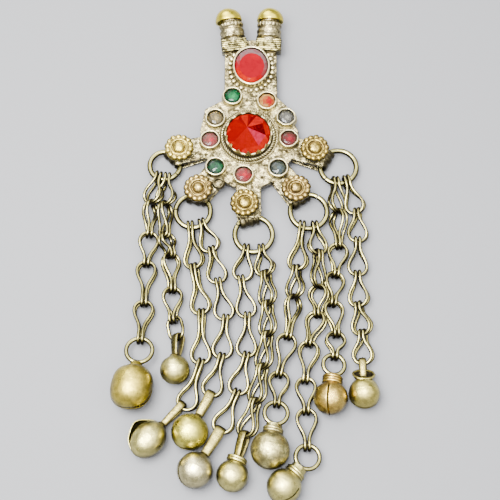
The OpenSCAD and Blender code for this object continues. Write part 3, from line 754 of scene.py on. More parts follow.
on_face("small_bezels", [(bezel(3.1, 0.45, 1.9, 0.26, k in EIGHT_SIDED, k * 3.1), place)
                         for k, place in enumerate(SMALL)], setting_silver)
on_face("empty_collet", [(bezel(1.7, 0.5, 0.9, 0.2, seed=40.0), COLLET)], loop_silver)

# %% [markdown]
# The centre cup has a toothed rim. A strip with triangles filed along one edge is bent into a tube, and the
# teeth are pushed in over the stone. Wall and teeth are one closed strip: each corner of the rim goes up at
# a tooth's point and inward with its height.

# %% Centre cup with its teeth
CUP_R, CUP_H, CUP_WALL, CUP_LOW = 7.35, 2.3, 0.4, -0.3
TEETH, TOOTH_H, TOOTH_T = 14, 1.5, 0.3
STEPS_A_TOOTH = 12


def toothed_cup():
    """The cup's wall with teeth that lean in."""
    steps = TEETH * STEPS_A_TOOTH
    luck = random.Random(4)
    tall = [luck.uniform(0.85, 1.1) for _ in range(TEETH)]
    lean = [luck.uniform(0.75, 1.25) for _ in range(TEETH)]
    corners, faces = [], []
    for i in range(steps):
        a = 2 * math.pi * i / steps
        tooth, share = divmod(i / STEPS_A_TOOTH, 1.0)
        tooth = int(tooth) % TEETH
        up = max(0.0, 1 - abs(share - 0.5) * 3.2) ** 0.85
        top = CUP_H + TOOTH_H * up * tall[tooth]
        row = []
        for part in (0.0, 0.5, 1.0):
            z = CUP_LOW + (CUP_H - CUP_LOW) * part
            row.append((CUP_R + 0.06 * noise.noise((math.cos(a) * 3, math.sin(a) * 3, z)), z))
        for part in (0.5, 1.0):
            z = CUP_H + (top - CUP_H) * part
            row.append((CUP_R - 0.02 - 0.4 * lean[tooth] * ((z - CUP_H) / TOOTH_H) ** 1.5, z))
        rim_r, rim_z = row[-1]
        row += [(rim_r - TOOTH_T, rim_z - 0.05), (CUP_R - CUP_WALL, CUP_H), (CUP_R - CUP_WALL, CUP_LOW)]
        corners += [Vector((r * math.cos(a), r * math.sin(a), z)) for r, z in row]
    count = len(row)
    for i in range(steps):
        j = (i + 1) % steps
        faces += [(i * count + k, j * count + k, j * count + (k + 1) % count, i * count + (k + 1) % count)
                  for k in range(count)]
    return corners, faces


on_face("centre_cup", [(toothed_cup(), CUP)], setting_silver, sharp=50)

# %% [markdown]
# Two twisted wires lie round the foot of the cup, a thick one against its wall and a thin one outside it.
# Both come from the same tree, which makes them round the origin, and are then moved to the cup.

# %% Wires round the centre cup
CUP_WIRES = (("cup_wire", 8.1, 0.34, 30, 0.34), ("cup_wire_outer", 9.05, 0.22, 46, 0.08))
for name, r, strand, turns, z in CUP_WIRES:
    piece = run_tree(empty_piece(name), twisted_wire, ring_radius=r * MM, strand_radius=strand * MM,
                     turns=turns, metal=setting_silver)
    piece.data.transform(Matrix.Translation(drawn(*CUP, FACE_Z + z) * MM))
    hand_in(piece, ["body"], setting_silver)

# %% [markdown]
# The oval setting stands on the neck, with a smooth thick rim and a border of grains. The bezel is turned
# as a circle and then stretched, and the grains come from the tree.

# %% Oval setting and its grains
OVAL = (0.4, 61.1)
OVAL_W, OVAL_L, OVAL_H = 5.85, 6.95, 2.6
corners, faces = bezel(OVAL_W, 0.55, OVAL_H, 0.2, seed=60.0)
for corner in corners:
    corner.y *= 1 + (OVAL_L - OVAL_W) / OVAL_W
on_face("oval_bezel", [((corners, faces), OVAL)], setting_silver)

oval_grains = run_tree(empty_piece("oval_grains"), grain_ring, half_width=(OVAL_W + 1) * MM,
                       half_length=(OVAL_L + 1) * MM, grains=28, grain_radius=0.82 * MM, flatness=0.85,
                       stretch=1.08, spread=0.34, seed=3, post_line=6.0 * MM, gap=1.9 * MM,
                       metal=setting_silver)
oval_grains.data.transform(Matrix.Translation(drawn(*OVAL, FACE_Z + 0.5) * MM))
hand_in(oval_grains, ["body"], setting_silver)

# %% [markdown]
# ## Posts and caps
# Two hollow posts rise a little from the top of the neck. Each starts as a flat block filed with straight
# ribs and goes on as a round tube with grooves and a beaded collar. The block is a stack of nearly square
# sections.

# %% Feet of the posts
POSTS = [(-4.85, 67.65, 8), (5.9, 67.65, -2.5)]
POST_Z, POST_RISE = 4.2, 14
FOOT_W, FOOT_FRONT, FOOT_BACK = 4.1, 2.9, 2.4
RIBS, RIB_STEP, RIB_H = 6, 0.66, 0.5


def post_matrix(k, shift=0.0):
    """Places a piece made round the z axis on post k; shift moves it to the post's left."""
    x, y, lean = POSTS[k]
    turned = spun(lean, "Z") @ spun(POST_RISE - 90, "X")
    return Matrix.Translation(drawn(x, y, POST_Z)) @ turned @ Matrix.Translation((-shift, 0, 0))


def ribbed_foot(sides=72):
    """A block whose section is nearly a rectangle; its front lies at negative y."""
    rows = []
    for i in range(RIBS):
        low = 0.02 + RIB_STEP * i
        high = low + RIB_H
        rows += [(low, 0.12), (low + 0.06, 0.02), (low + 0.2, 0.0), (high - 0.12, 0.02), (high, 0.14),
                 (high + 0.08, 0.18)]
    corners, faces = [], []
    for z, inset in rows:
        for i in range(sides):
            c, d = math.cos(2 * math.pi * i / sides), math.sin(2 * math.pi * i / sides)
            square = 1 / (abs(c) ** 14 + abs(d) ** 14) ** (1 / 14)
            deep = FOOT_FRONT if d < 0 else FOOT_BACK
            waver = 0.05 * noise.noise(Vector((c * 4, d * 4, z)))
            corners.append(Vector(((FOOT_W - inset + waver) * c * square,
                                   (deep - inset + waver) * d * square, z)))
    for k in range(len(rows) - 1):
        faces += [(k * sides + i, k * sides + (i + 1) % sides, (k + 1) * sides + (i + 1) % sides,
                   (k + 1) * sides + i) for i in range(sides)]
    return corners, faces + [tuple(range(sides))[::-1], tuple(range(len(corners) - sides, len(corners)))]


print("ribbed foot:", len(ribbed_foot()[0]), "corners")

# %% [markdown]
# The round part of a post is turned. Its profile is cut into short steps first, so that the collar's beads
# and, on the left post, a scratched wavy line can be pressed in by moving its corners.

# %% Posts
BANDS = [
    [(3.86, 4.55), (4.0, 4.75), (4.0, 5.5), (3.84, 5.85), (3.84, 6.05), (3.98, 6.3), (3.98, 6.95),
     (3.5, 7.3)],
    [(3.84, 4.5), (4.0, 4.75), (4.0, 5.3), (3.72, 5.7), (3.72, 5.95), (3.97, 6.25), (3.97, 6.95),
     (3.45, 7.35)]]
TIP = [(3.4, 7.6), (3.45, 7.75), (3.85, 7.95), (3.96, 8.3), (3.96, 9.1), (3.85, 9.45), (3.0, 9.85),
       (3.0, 11.38), (0, 11.38)]
COLLAR_LOW, COLLAR_HIGH, COLLAR_BEADS = 7.9, 9.6, 8.5
POST_GRAIN = [0.05, 0.03]
post_silver = worn_metal("post_silver", (0.85, 0.73, 0.36), (0.34, 0.28, 0.15), rough=0.3, patch=1.2,
                         pits=0.5, grain=0.5, depth=0.5, hollow=0.8, side=0.35, stain=0.65, relief=0.6,
                         wave=0.9)
foot_silver = worn_metal("foot_silver", (0.74, 0.65, 0.25), (0.34, 0.285, 0.12), rough=0.34, patch=1.5,
                         pits=0.3, grain=0.5, depth=0.3, hollow=0.75, side=0.3, stain=0.85, relief=0.8,
                         wave=1.2)


def turned_post(k):
    """The round part of post k."""
    profile = [(0, 3.2), (3.0, 3.2), (3.42, 4.2)] + BANDS[k] + TIP
    dense = []
    for (r0, z0), (r1, z1) in zip(profile, profile[1:]):
        steps = max(1, int(math.hypot(r1 - r0, z1 - z0) / 0.25)) if r0 > 0 and r1 > 0 else 1
        dense += [(r0 + (r1 - r0) * i / steps, z0 + (z1 - z0) * i / steps) for i in range(steps)]
    dense.append(profile[-1])
    corners, faces = lathe(dense, 136, 0.05, 7.0 * k)
    for corner in corners:
        r, turn = corner.xy.length, math.atan2(corner.y, corner.x)
        if COLLAR_LOW < corner.z < COLLAR_HIGH and r > 3.5:
            swell = math.sin(math.pi * (corner.z - COLLAR_LOW) / (COLLAR_HIGH - COLLAR_LOW))
            bead = abs(math.cos(turn * COLLAR_BEADS)) ** 0.6 * swell
            corner.xy *= 1 + (0.26 * bead - 0.22) / r
        if k == 0 and 4.5 < corner.z < 7.2 and r > 3.5:
            crest = 0.45 * abs(math.sin(turn * 2.5 + 0.6)) + 0.15 * noise.noise(corner * 1.3)
            corner.xy *= 1 - (0.2 if abs(corner.z - 5.1 - crest) < 0.26 else 0.0) / r
    return corners, faces


for k, name in enumerate(("post_left", "post_right")):
    for part, (corners, faces), metal in ((name, turned_post(k), post_silver),
                                          ("foot_of_" + name, ribbed_foot(), foot_silver)):
        piece = new_piece(part, moved(corners, post_matrix(k)), faces)
        turn_faces_out(piece)
        roughen(piece, 0, [(1.2, 0.05), (0.5, POST_GRAIN[k])], 11.0 * k)
        piece.data.set_sharp_from_angle(angle=math.radians(42))
        hand_in(piece, ["body"], metal)

# %% [markdown]
# The caps are thin domes raised from brass sheet, worn smooth on top and brown where they meet the collar.
# They overhang the posts, and the left one has slipped to its side. The inside is open for the post's tip.

# %% Caps
CAP_R, CAP_FROM, CAP_RIM, CAP_SHIFT = 4.29, 10.15, 0.3, (0.6, -0.2)
cap_brass = worn_metal("cap_brass", (1.0, 0.82, 0.07), (0.85, 0.67, 0.05), rough=0.25, patch=5.0, pits=0.15,
                       grain=0.2, depth=0.6, hollow=0.75, side=0.55, stain=0.2, relief=0.2,
                       patina=(0.12, 0.07, 0.02))
for k, side in enumerate(("left", "right")):
    round_top = arc(0, CAP_FROM + CAP_RIM, CAP_R, 0, 90, 20)
    round_top[-1] = (0, CAP_FROM + CAP_RIM + CAP_R)
    inside = [(0, 11.6), (3.55, 11.3), (3.7, CAP_FROM)]
    rim = [(CAP_R - 0.11, CAP_FROM), (CAP_R, CAP_FROM + 0.1)]
    corners, faces = lathe(inside + rim + round_top, 60, 0.05, 20.0 + k)
    for corner in corners:
        dent = math.exp(-((corner.x - 1.5) ** 2 + (corner.y + 2.2 - k) ** 2) / 3)
        if corner.z > 11.7:
            corner.z -= 0.14 * dent + 0.05
            corner.xy *= 1 - 0.02 * dent
    dome = new_piece("dome_" + side, moved(corners, post_matrix(k, CAP_SHIFT[k])), faces)
    turn_faces_out(dome)
    hand_in(dome, ["cap_" + side], cap_brass)

# %% [markdown]
# ## Glass stones
# The stones are pressed and cut glass on crinkled foil. Light goes in through the table, comes back from
# the foil and leaves by other facets, so a facet is bright or black as the light falls. Real facets with
# clear glass and a foil below them do this in a render too. A convex hull over a few rings of corners makes
# every facet flat, and each facet also gets a painted brightness of its own, a tone that the glass turns
# into a tint: painted light on top of what the render gives.

# %% Cut stones
luck = random.Random(11)


def ring_of(n, rx, ry, z, turn=0.0):
    """A ring of n corners with the half widths rx and ry, turned by some degrees."""
    turns = [math.radians(turn + 360 * i / n) for i in range(n)]
    return [Vector((rx * math.cos(t), ry * math.sin(t), z)) for t in turns]


def rows_of(rows, rx, ry, turn=0.0):
    """Corners of several rings, each a number of corners, a share of rx and ry, a height and a turn."""
    return [point for n, share, z, more in rows
            for point in ring_of(n, share * rx, share * ry, z, turn + more)]


def between(low, value, high):
    """The value, held between two bounds."""
    return max(low, min(high, value))


def cut_stone(name, place, points, node_name, slot, glass, tone_of):
    """A stone, the hull of its corners. The last function given paints a brightness on each facet from its
    normal and middle.
    """
    work = bmesh.new()
    for point in points:
        work.verts.new((place + point) * MM)
    bmesh.ops.convex_hull(work, input=work.verts)
    bmesh.ops.delete(work, geom=[v for v in work.verts if not v.link_faces], context="VERTS")
    bmesh.ops.dissolve_limit(work, angle_limit=math.radians(1.5), verts=work.verts, edges=work.edges)
    bmesh.ops.recalc_face_normals(work, faces=work.faces)
    mesh = bpy.data.meshes.new(name)
    work.to_mesh(mesh)
    work.free()
    tones = [tone_of(face.normal, face.center / MM - place) for face in mesh.polygons]
    mesh.attributes.new("tone", "FLOAT", "FACE").data.foreach_set("value", tones)
    piece = bpy.data.objects.new(name, mesh)
    bpy.context.scene.collection.objects.link(piece)
    hand_in(piece, [node_name], glass)


# %% [markdown]
# The glass is a clear tinted surface with a little haze. Below the girdle, the stone's widest line, it
# turns into metal foil of a near colour, which throws the light back up.

# %% Glass over foil
GIRDLE, OVAL_GIRDLE, CENTRE_GIRDLE = 1.02, 1.42, 1.66
HAZE_SIZE = 1.1


def coloured_glass(name, tones, foil, girdle=GIRDLE, index=1.3, cloud=0.2, shine=0.2):
    """Tinted glass over foil. tones are the tints from the darkest to the brightest painted facet light,
    girdle is the foil's height.
    """
    made, tree, surface = start_material(name)
    spot = node(tree, "ShaderNodeTexCoord", (-1100, 0)).outputs["Object"]
    haze = node(tree, "ShaderNodeTexNoise", (-900, 0), Scale=1 / (HAZE_SIZE * MM), Detail=6.0, Roughness=0.68)
    tree.links.new(spot, haze.inputs["Vector"])
    height = node(tree, "ShaderNodeSeparateXYZ", (-900, -300))
    tree.links.new(spot, height.inputs[0])
    below = node(tree, "ShaderNodeMath", (-700, -300), operation="LESS_THAN")
    tree.links.new(height.outputs["Z"], below.inputs[0])
    below.inputs[1].default_value = (FACE_Z + girdle) * MM
    tone = node(tree, "ShaderNodeAttribute", (-900, 300), attribute_name="tone").outputs["Fac"]
    tint = ramp(tree, (-650, 300), [(i / (len(tones) - 1), colour) for i, colour in enumerate(tones)], tone)
    patchy = ramp(tree, (-650, 60), [(0.42, 0.0), (0.66, 0.7)], haze.outputs["Fac"])
    cloudy = mixed(tree, (-400, 200), patchy, tint, tuple(0.7 * c for c in tones[len(tones) // 2]))
    coloured = mixed(tree, (-250, 200), below.outputs[0], cloudy, foil)
    tree.links.new(coloured, surface.inputs["Base Color"])
    tree.links.new(below.outputs[0], surface.inputs["Metallic"])
    gloss = ramp(tree, (-400, -100), [(0.35, 0.05), (0.7, 0.12)], haze.outputs["Fac"])
    tree.links.new(gloss, surface.inputs["Roughness"])
    surface.inputs["Specular IOR Level"].default_value = shine
    surface.inputs["Transmission Weight"].default_value = 0.9 - cloud
    surface.inputs["IOR"].default_value = index
    return made


# %% [markdown]
# Each small stone has its own glass, from the neck's foot down to the stone below the centre: green, orange
# red, brown, grey, pink, red, deep green, grey teal and rose. Each list of tints runs from the darkest
# painted facet light to the brightest, so it holds painted light as well as the glass's colour.

# %% Colours of the small stones
glass_green = coloured_glass(
    "glass_green", [(0.004, 0.025, 0.012), (0.005, 0.1, 0.035), (0.005, 0.28, 0.08), (0.04, 0.6, 0.19)],
    (0.03, 0.3, 0.1), shine=0.08)
glass_orange = coloured_glass(
    "glass_orange", [(0.36, 0.22, 0.06), (0.32, 0.06, 0.015), (0.26, 0.002, 0.006), (0.3, 0.012, 0.01)],
    (0.4, 0.1, 0.03), index=1.2, cloud=0.5, shine=0.03)
glass_brown = coloured_glass(
    "glass_brown", [(0.08, 0.065, 0.03), (0.19, 0.155, 0.075), (0.27, 0.215, 0.09), (0.58, 0.46, 0.2)],
    (0.5, 0.4, 0.18), index=1.4)
glass_clear = coloured_glass(
    "glass_clear", [(0.05, 0.05, 0.042), (0.11, 0.105, 0.085), (0.2, 0.19, 0.16), (0.6, 0.58, 0.5)],
    (0.35, 0.33, 0.27), index=1.45, cloud=0.15)
glass_pink = coloured_glass(
    "glass_pink", [(0.14, 0.09, 0.07), (0.25, 0.09, 0.07), (0.3, 0.006, 0.02), (0.5, 0.05, 0.06)],
    (0.4, 0.08, 0.07), cloud=0.3, shine=0.05)
glass_red = coloured_glass(
    "glass_red", [(0.07, 0.045, 0.03), (0.15, 0.04, 0.035), (0.2, 0.002, 0.01), (0.38, 0.02, 0.03)],
    (0.3, 0.04, 0.04), cloud=0.3, shine=0.05)
glass_deep = coloured_glass(
    "glass_deep", [(0.008, 0.02, 0.012), (0.014, 0.1, 0.035), (0.014, 0.17, 0.06), (0.03, 0.05, 0.05)],
    (0.04, 0.15, 0.06), index=1.4, shine=0.15)
glass_teal = coloured_glass(
    "glass_teal", [(0.035, 0.04, 0.025), (0.1, 0.11, 0.07), (0.035, 0.065, 0.075), (0.16, 0.23, 0.25)],
    (0.2, 0.2, 0.12), index=1.4)
glass_rose = coloured_glass(
    "glass_rose", [(0.16, 0.09, 0.07), (0.27, 0.05, 0.05), (0.34, 0.003, 0.014), (0.6, 0.04, 0.05)],
    (0.4, 0.06, 0.06), cloud=0.3, shine=0.05)
SMALL_GLASS = [("glass_green", glass_green), ("glass_orange", glass_orange), ("glass_clear", glass_brown),
               ("glass_clear", glass_clear), ("glass_pink", glass_pink), ("glass_pink", glass_red),
               ("glass_green", glass_deep), ("glass_teal", glass_teal), ("glass_pink", glass_rose)]
print("small stones:", len(SMALL_GLASS))

# %% [markdown]
# A small stone has eight sides and a small table that sits a little low on the right. Its facets are
# painted brighter the nearer they lie to that side, as if light came back out there.

# %% Small stones
STONE_R = 2.52
# Rings of corners from the bottom up: how many corners, their radius, their height and their turn
SMALL_ROWS = [(8, 0.55, 0.12, 0), (8, 1.55, 0.55, 22.5), (8, STONE_R, 1.05, 0), (8, STONE_R, 1.2, 0),
              (8, 2.0, 1.62, 22.5), (8, 1.4, 1.83, 0)]
TABLE_R, TABLE_Z, TABLE_TURN = 0.62, 1.93, 10
TABLE_SHIFT = Vector((0.3, -0.25, 0))


def small_facet_light(normal, middle):
    """Painted light: facets are darker the farther they lie from a bright spot low on the right."""
    away = (middle.xy - Vector((0.45, -0.4))).length
    return between(0.0, 1.05 - 0.55 * away + luck.uniform(-0.2, 0.2), 1.0)


for k, place in enumerate(SMALL):
    turn = luck.uniform(0, 45)
    table = ring_of(8, TABLE_R, TABLE_R, TABLE_Z, turn + TABLE_TURN)
    points = rows_of(SMALL_ROWS, 1, 1, turn) + [point + TABLE_SHIFT for point in table]
    cut_stone("glass_%d" % (k + 1), drawn(*place, FACE_Z), points, "stone_%d" % (k + 1), *SMALL_GLASS[k],
              small_facet_light)

# %% [markdown]
# The oval stone has a wide flat table of even red. Its border facets are painted grey at the top, a painted
# reflection of the room, and orange low on the left, a painted glint.

# %% Oval stone
glass_oval = coloured_glass(
    "glass_oval", [(0.13, 0.1, 0.1), (0.17, 0.05, 0.05), (0.21, 0.0, 0.006), (0.33, 0.01, 0.0)],
    (0.3, 0.0, 0.004), OVAL_GIRDLE, index=1.2, cloud=0.65, shine=0.01)


def oval_facet_light(normal, middle):
    """A red table, and painted light on the facets round it: a grey reflection at the top and orange glints
    low on the left.
    """
    if normal.z > 0.97:
        return 0.66
    return between(0.0, 0.36 - 0.13 * middle.y - 0.06 * middle.x + luck.uniform(-0.08, 0.08), 1.0)


# As for the small stones, with each radius as a share of the stone's half width and half length
OVAL_ROWS = [(12, 0.5, 0.12, 0), (12, 0.8, 0.7, 15), (24, 1, 1.45, 0), (24, 1, 1.7, 0), (12, 0.93, 2.4, 15)]
wide, long = 5.25, 6.35
table = ring_of(16, 0.76 * wide, 0.7 * long, 2.98)
points = rows_of(OVAL_ROWS, wide, long) + [point + Vector((0.15, -0.5, 0)) for point in table]
cut_stone("glass_oval_stone", drawn(*OVAL, FACE_Z), points, "stone_oval", "glass_rose", glass_oval, oval_facet_light)

# %% [markdown]
# The centre stone rises to a point. Its eight large facets each show another part of the light, from nearly
# black to bright red, so each is painted its own brightness by the direction that it faces.

# %% Centre stone
glass_centre = coloured_glass(
    "glass_centre", [(0.02, 0.0, 0.0), (0.09, 0.0, 0.002), (0.18, 0.0, 0.0), (0.3, 0.008, 0.0),
                     (0.32, 0.01, 0.035)], (0.3, 0.0, 0.0), CENTRE_GIRDLE, index=1.12, cloud=0.55, shine=0.0)
# The painted light of each large facet by the direction it faces, in degrees from the right
CENTRE_FACET_LIGHT = {-33: 1.0, -78: 0.55, -123: 0.52, -168: 0.4, 147: 0.44, 102: 0.32, 57: 0.14, 12: 0.08}
CENTRE_R, CENTRE_TIP = 6.8, Vector((-0.4, 0.5, 5.64))
CENTRE_ROWS = [(8, 0.4, 0.12, 0), (16, 1, 1.7, 0), (16, 1, 2.05, 0), (8, 0.8, 2.95, -10)]


def centre_facet_light(normal, middle):
    """Painted light: the large facets have their own brightness, and the small ones round them vary at
    random.
    """
    if normal.z > 0.8 and middle.xy.length < 4.6:
        facing = math.degrees(math.atan2(normal.y, normal.x))
        nearest = min(CENTRE_FACET_LIGHT, key=lambda turn: abs((facing - turn + 180) % 360 - 180))
        return CENTRE_FACET_LIGHT[nearest]
    return luck.uniform(0.42, 0.8)


points = rows_of(CENTRE_ROWS, CENTRE_R, CENTRE_R) + [CENTRE_TIP]
cut_stone("glass_centre_stone", drawn(*CUP, FACE_Z), points, "stone_centre", "glass_red", glass_centre,
          centre_facet_light)

# %% [markdown]
# ## Rosettes
# A rosette is pressed from thin gilt copper. Fourteen lobes run from a raised ring over the outer edge, and
# a dome stands in a groove in the middle. It is soldered on the boss that each arm carries. The gilding is
# worn in another way on each, so it comes in four tones.

# %% Gilding
def worn_gilt(name, bright, dull, **special):
    """Gilding over copper; special holds the numbers that differ from one tone to the next."""
    # side and turn paint shade on the sides of the lobes.
    shared = dict(rough=0.27, patch=1.4, pits=0.3, grain=0.3, depth=0.7, hollow=0.97, side=0.15, stain=0.6,
                  wave=0.7, turn=0.95, patina=(0.085, 0.055, 0.025))
    return worn_metal(name, bright, dull, **{**shared, **special})


gilt = worn_gilt("gilt", (0.74, 0.55, 0.12), (0.28, 0.19, 0.05))
gilt_pale = worn_gilt("gilt_pale", (0.95, 0.75, 0.16), (0.5, 0.38, 0.09), depth=0.6, hollow=0.95, side=0.2,
                      stain=0.45, turn=0.92)
gilt_copper = worn_gilt("gilt_copper", (0.72, 0.53, 0.15), (0.27, 0.18, 0.06), stain=0.65)
gilt_warm = worn_gilt("gilt_warm", (0.7, 0.51, 0.15), (0.27, 0.18, 0.06))
GILDING = [gilt_pale, gilt_copper, gilt, gilt_warm, gilt]
print("gilding:", [metal.name for metal in GILDING])

# %% [markdown]
# The shape is turned from a profile, and the lobes come from moving the corners of its outer part in where
# two lobes meet. Each lobe is a little taller or lower than the next.

# %% Rosettes
DOMES = [1.9, 1.8, 1.95, 1.8, 1.95]
LOBES, LOBE_DEPTH = 14, 0.6
LOBE_EDGE = [(0, 0.02), (4.2, 0.02), (4.48, 0.2), (4.55, 0.6), (4.46, 1.0), (4.22, 1.35), (3.9, 1.58),
             (3.55, 1.66), (3.2, 1.6), (2.98, 1.42), (2.86, 1.2)]
RAISED_RING = arc(2.52, 1.25, 0.3, 0, 180, 8)
DOME_FROM, DOME_RISE = 1.0, 1.2
ROSETTE_Z = FACE_Z + 1.2


def rosette(dome_r, seed, luck):
    """A rosette round the z axis, with a dome of the given radius."""
    turns = [math.radians(5 + 84 * i / 9) for i in range(10)]
    foot = [(dome_r + 0.06, 0.85)]
    dome = [(dome_r * math.cos(t), DOME_FROM + DOME_RISE * math.sin(t)) for t in turns]
    profile = LOBE_EDGE + RAISED_RING + foot + dome + [(0, DOME_FROM + DOME_RISE + 0.01)]
    corners, faces = lathe(profile, LOBES * 12, 0.1, seed)
    tall = [luck.uniform(0.75, 1.2) for _ in range(LOBES)]
    for corner in corners:
        out, turn = corner.xy.length, math.atan2(corner.y, corner.x) % (2 * math.pi)
        if out > 2.9 and corner.z > 0.1:
            lobe = turn * LOBES / (2 * math.pi)
            valley = 1 - abs(math.sin(math.pi * lobe)) ** 0.34
            away = Vector((out - 3.5, corner.z - 0.75)).normalized()
            deep = LOBE_DEPTH * valley - 0.12 * (tall[int(lobe) % LOBES] - 1)
            corner.z -= away.y * deep
            corner.xy *= 1 - away.x * deep / out
    return corners, faces


for k, place in enumerate(BOSSES):
    luck = random.Random(30 + k)
    base = new_piece("rosette_base_%d" % (k + 1), *rosette(DOMES[k], 3.0 * k, luck))
    base.data.transform(Matrix.Translation(drawn(*place, ROSETTE_Z) * MM) @ spun(luck.uniform(0, 24), "Z"))
    roughen(base, 0, [(1.6, 0.1), (0.6, 0.05)], 17.0 * k)
    turn_faces_out(base)
    hand_in(base, ["rosette_%d" % (k + 1)], GILDING[k])

# %% [markdown]
# ## Jump rings
# One heavy ring hangs in each loop. Wire is wound on a rod, cut into rings and closed with two pliers, so
# the cut stays visible. A round wire mirrors the whole room, so its bright line is narrow, and its sides are
# painted dark as if they mirrored a dark room.

# %% Jump rings
RING_WIRE = 0.84
ring_silver = worn_metal("ring_silver", (0.56, 0.5, 0.17), (0.25, 0.22, 0.075), rough=0.2, patch=4.0,
                         pits=0.2, grain=0.3, depth=0.6, side=0.02, stain=0.15, relief=0.18, wave=0.18,
                         turn=0.98, fade=0.58)
for k, (x, y, r, _, cut) in enumerate(RINGS):
    piece = run_tree(empty_piece("heavy_ring_%d" % (k + 1)), cut_ring, ring_radius=r * MM,
                     wire_radius=RING_WIRE * MM, opening=math.radians(4), unevenness=0.1 * MM,
                     metal=ring_silver)
    piece.data.transform(Matrix.Translation(drawn(x, y, RING_Z) * MM) @ spun(cut, "Z"))
    hand_in(piece, ["jump_ring_%d" % (k + 1)], ring_silver)

# %% [markdown]
# ## Chains
# Each link is one piece of wire, soldered into a ring, pulled long, pinched in the middle and folded over
# the round ends of the link before it. So a link shows two wires side by side, which part into a round eye.
# The table below holds, for every link, the place of its lower end, the turn about its own length at its
# upper and lower ends, and its way: 1 with the fold above, -1 with the fold below and 0 for a single flat
# loop. Before its links, each chain says which ring it hangs on, counted from 0, and at which turn of that
# ring.

# %% Table of links
CHAINS = [
    (0, 244, [(-30.2, 15.9, 3, -5, 40, 1), (-30.4, 5.7, 3.6, -75, -10, -1), (-31, -3.3, 2.4, -10, 0, -1),
              (-31.3, -15.7, 2.4, 0, 0, -1), (-31.9, -27.2, 3.2, 0, 0, -1)]),
    (0, 280, [(-25.9, 15.3, 3.3, -5, 35, 1), (-25.8, 5.8, 3.6, -60, -55, -1), (-24, -0.7, 3.1, -55, -40, -1),
              (-23.2, -11.6, 2.9, -40, -20, -1), (-22.6, -20.9, 2.7, -20, 20, -1),
              (-21, -27.4, 3.2, 20, 45, 0)]),
    (1, 263, [(-16.6, -5.5, 2.8, 0, 20, 1), (-14.2, -19.6, 2.4, 20, 10, 1), (-14.4, -34.7, 2.6, 10, 0, 1),
              (-18.8, -48.1, 2.9, 0, 0, 1)]),
    (1, 304, [(-11.3, 0, 2.6, 0, 15, 1), (-9.4, -10, 2.5, 15, 0, 1), (-7.2, -21.4, 2.5, 0, 0, 1),
              (-8.4, -33, 2.5, 0, 0, 1), (-11.6, -44.3, 3.2, 0, 0, 1)]),
    (2, 246, [(-2.6, -9.2, 2.5, 0, 0, 1), (-0.8, -20.6, 2.4, 0, 0, 1), (-1.2, -32.6, 2.5, 0, 0, 1),
              (-4, -43.6, 2.6, 0, 0, 1), (-8.8, -54.6, 3.2, 0, 0, 1)]),
    (2, 295, [(4.8, -7.8, 3.1, 0, 40, 1), (5.2, -17.2, 3.2, 40, 50, 1), (5, -26.6, 3.2, 50, 50, 1),
              (3.5, -36.3, 3.2, 50, 50, 1), (1.4, -46.3, 3.2, 50, 45, 1), (-1.7, -55.8, 3.2, 45, 30, 1)]),
    (3, 247, [(13.9, -6, 2.8, 0, 25, 1), (13.1, -14.4, 3, 25, 55, 1), (11.1, -26, 3.3, -55, -10, -1),
              (8.5, -37.1, 2.5, -10, 0, -1), (7.7, -45.9, 3, 0, 0, -1)]),
    (3, 289, [(20.5, -1.1, 2.9, 0, -30, 1), (20.3, -11.3, 3, -30, -55, 1), (20.1, -19.1, 2.6, 30, 25, -1),
              (17.4, -28.1, 2.8, 25, 15, -1), (16, -38.8, 2.3, 15, 0, -1), (16, -47.9, 2.5, 0, 0, -1),
              (16.1, -58.2, 2.8, 0, 0, -1)]),
    (4, 259, [(26.8, 12.9, 3, -10, -50, 1), (26.8, 2.2, 3.1, 60, 15, -1), (25.5, -6.8, 2.7, 15, -15, -1),
              (24.4, -15.8, 2.8, -15, -15, -1), (25.1, -25.2, 2.8, -15, -10, -1),
              (24.5, -32, 2.9, -10, -5, -1)]),
    (4, 297, [(32.8, 12.4, 2.5, 0, 20, 1), (32.5, 3, 2.6, 20, 0, 1), (32.1, -7.7, 2.5, 0, 0, 1),
              (32.2, -17.4, 2.6, 0, 25, 1), (33, -26.1, 2.9, 25, 30, 1), (32.6, -34.8, 3, 30, 10, 1)])]
print("links:", sum(len(links) for _, _, links in CHAINS))

# %% [markdown]
# A link's line is made straight first. Its wire starts at the fold, runs out side by side with its twin,
# parts into the eye and comes back, and the fold joins the upper pair of wires to the lower pair.

# %% The line of one link
FOLD_W, EYE_W, EYE_H, FOLD_H, RING_FOLD_H = 0.62, 2.72, 0.45, 1.5, 1.9
EYE_RUN, EYE_ASIDE = 6.2, 0.3


def eye_rows(length, height, side):
    """The wire from the fold, out round the eye and back: across, along and through."""
    middle = length - EYE_W
    start = max(0.8, middle - EYE_RUN)
    half = [(FOLD_W, 0.3)]
    for part in (0.0, 0.3, 0.5, 0.7, 1.0):
        ease = part * part * (3 - 2 * part)
        half.append((FOLD_W + (EYE_W - FOLD_W) * ease, start + (middle - start) * part))
    for turn in (30, 60):
        half.append((EYE_W * math.cos(math.radians(turn)), middle + EYE_W * math.sin(math.radians(turn))))
    aside = 0.0 if side > 0 else EYE_ASIDE
    rows = []
    for across, along in half + [(0, length)] + [(-across, along) for across, along in half[::-1]]:
        share = between(0, along / length, 1)
        rows.append((side * across + aside * share, along - aside * share ** 3,
                     side * (height + (EYE_H - height) * share)))
    return rows


def fold_rows(height, side):
    """The bend of one wire over the eye of the link above."""
    return [(-side * FOLD_W, -height * math.cos(t), side * height * math.sin(t))
            for t in (math.radians(turn) for turn in (55, 0, -55))]


def folded_link(length, height):
    """The whole closed line of a folded link."""
    return (eye_rows(length, height, 1) + fold_rows(height, 1) + eye_rows(length, height, -1)
            + fold_rows(height, -1))


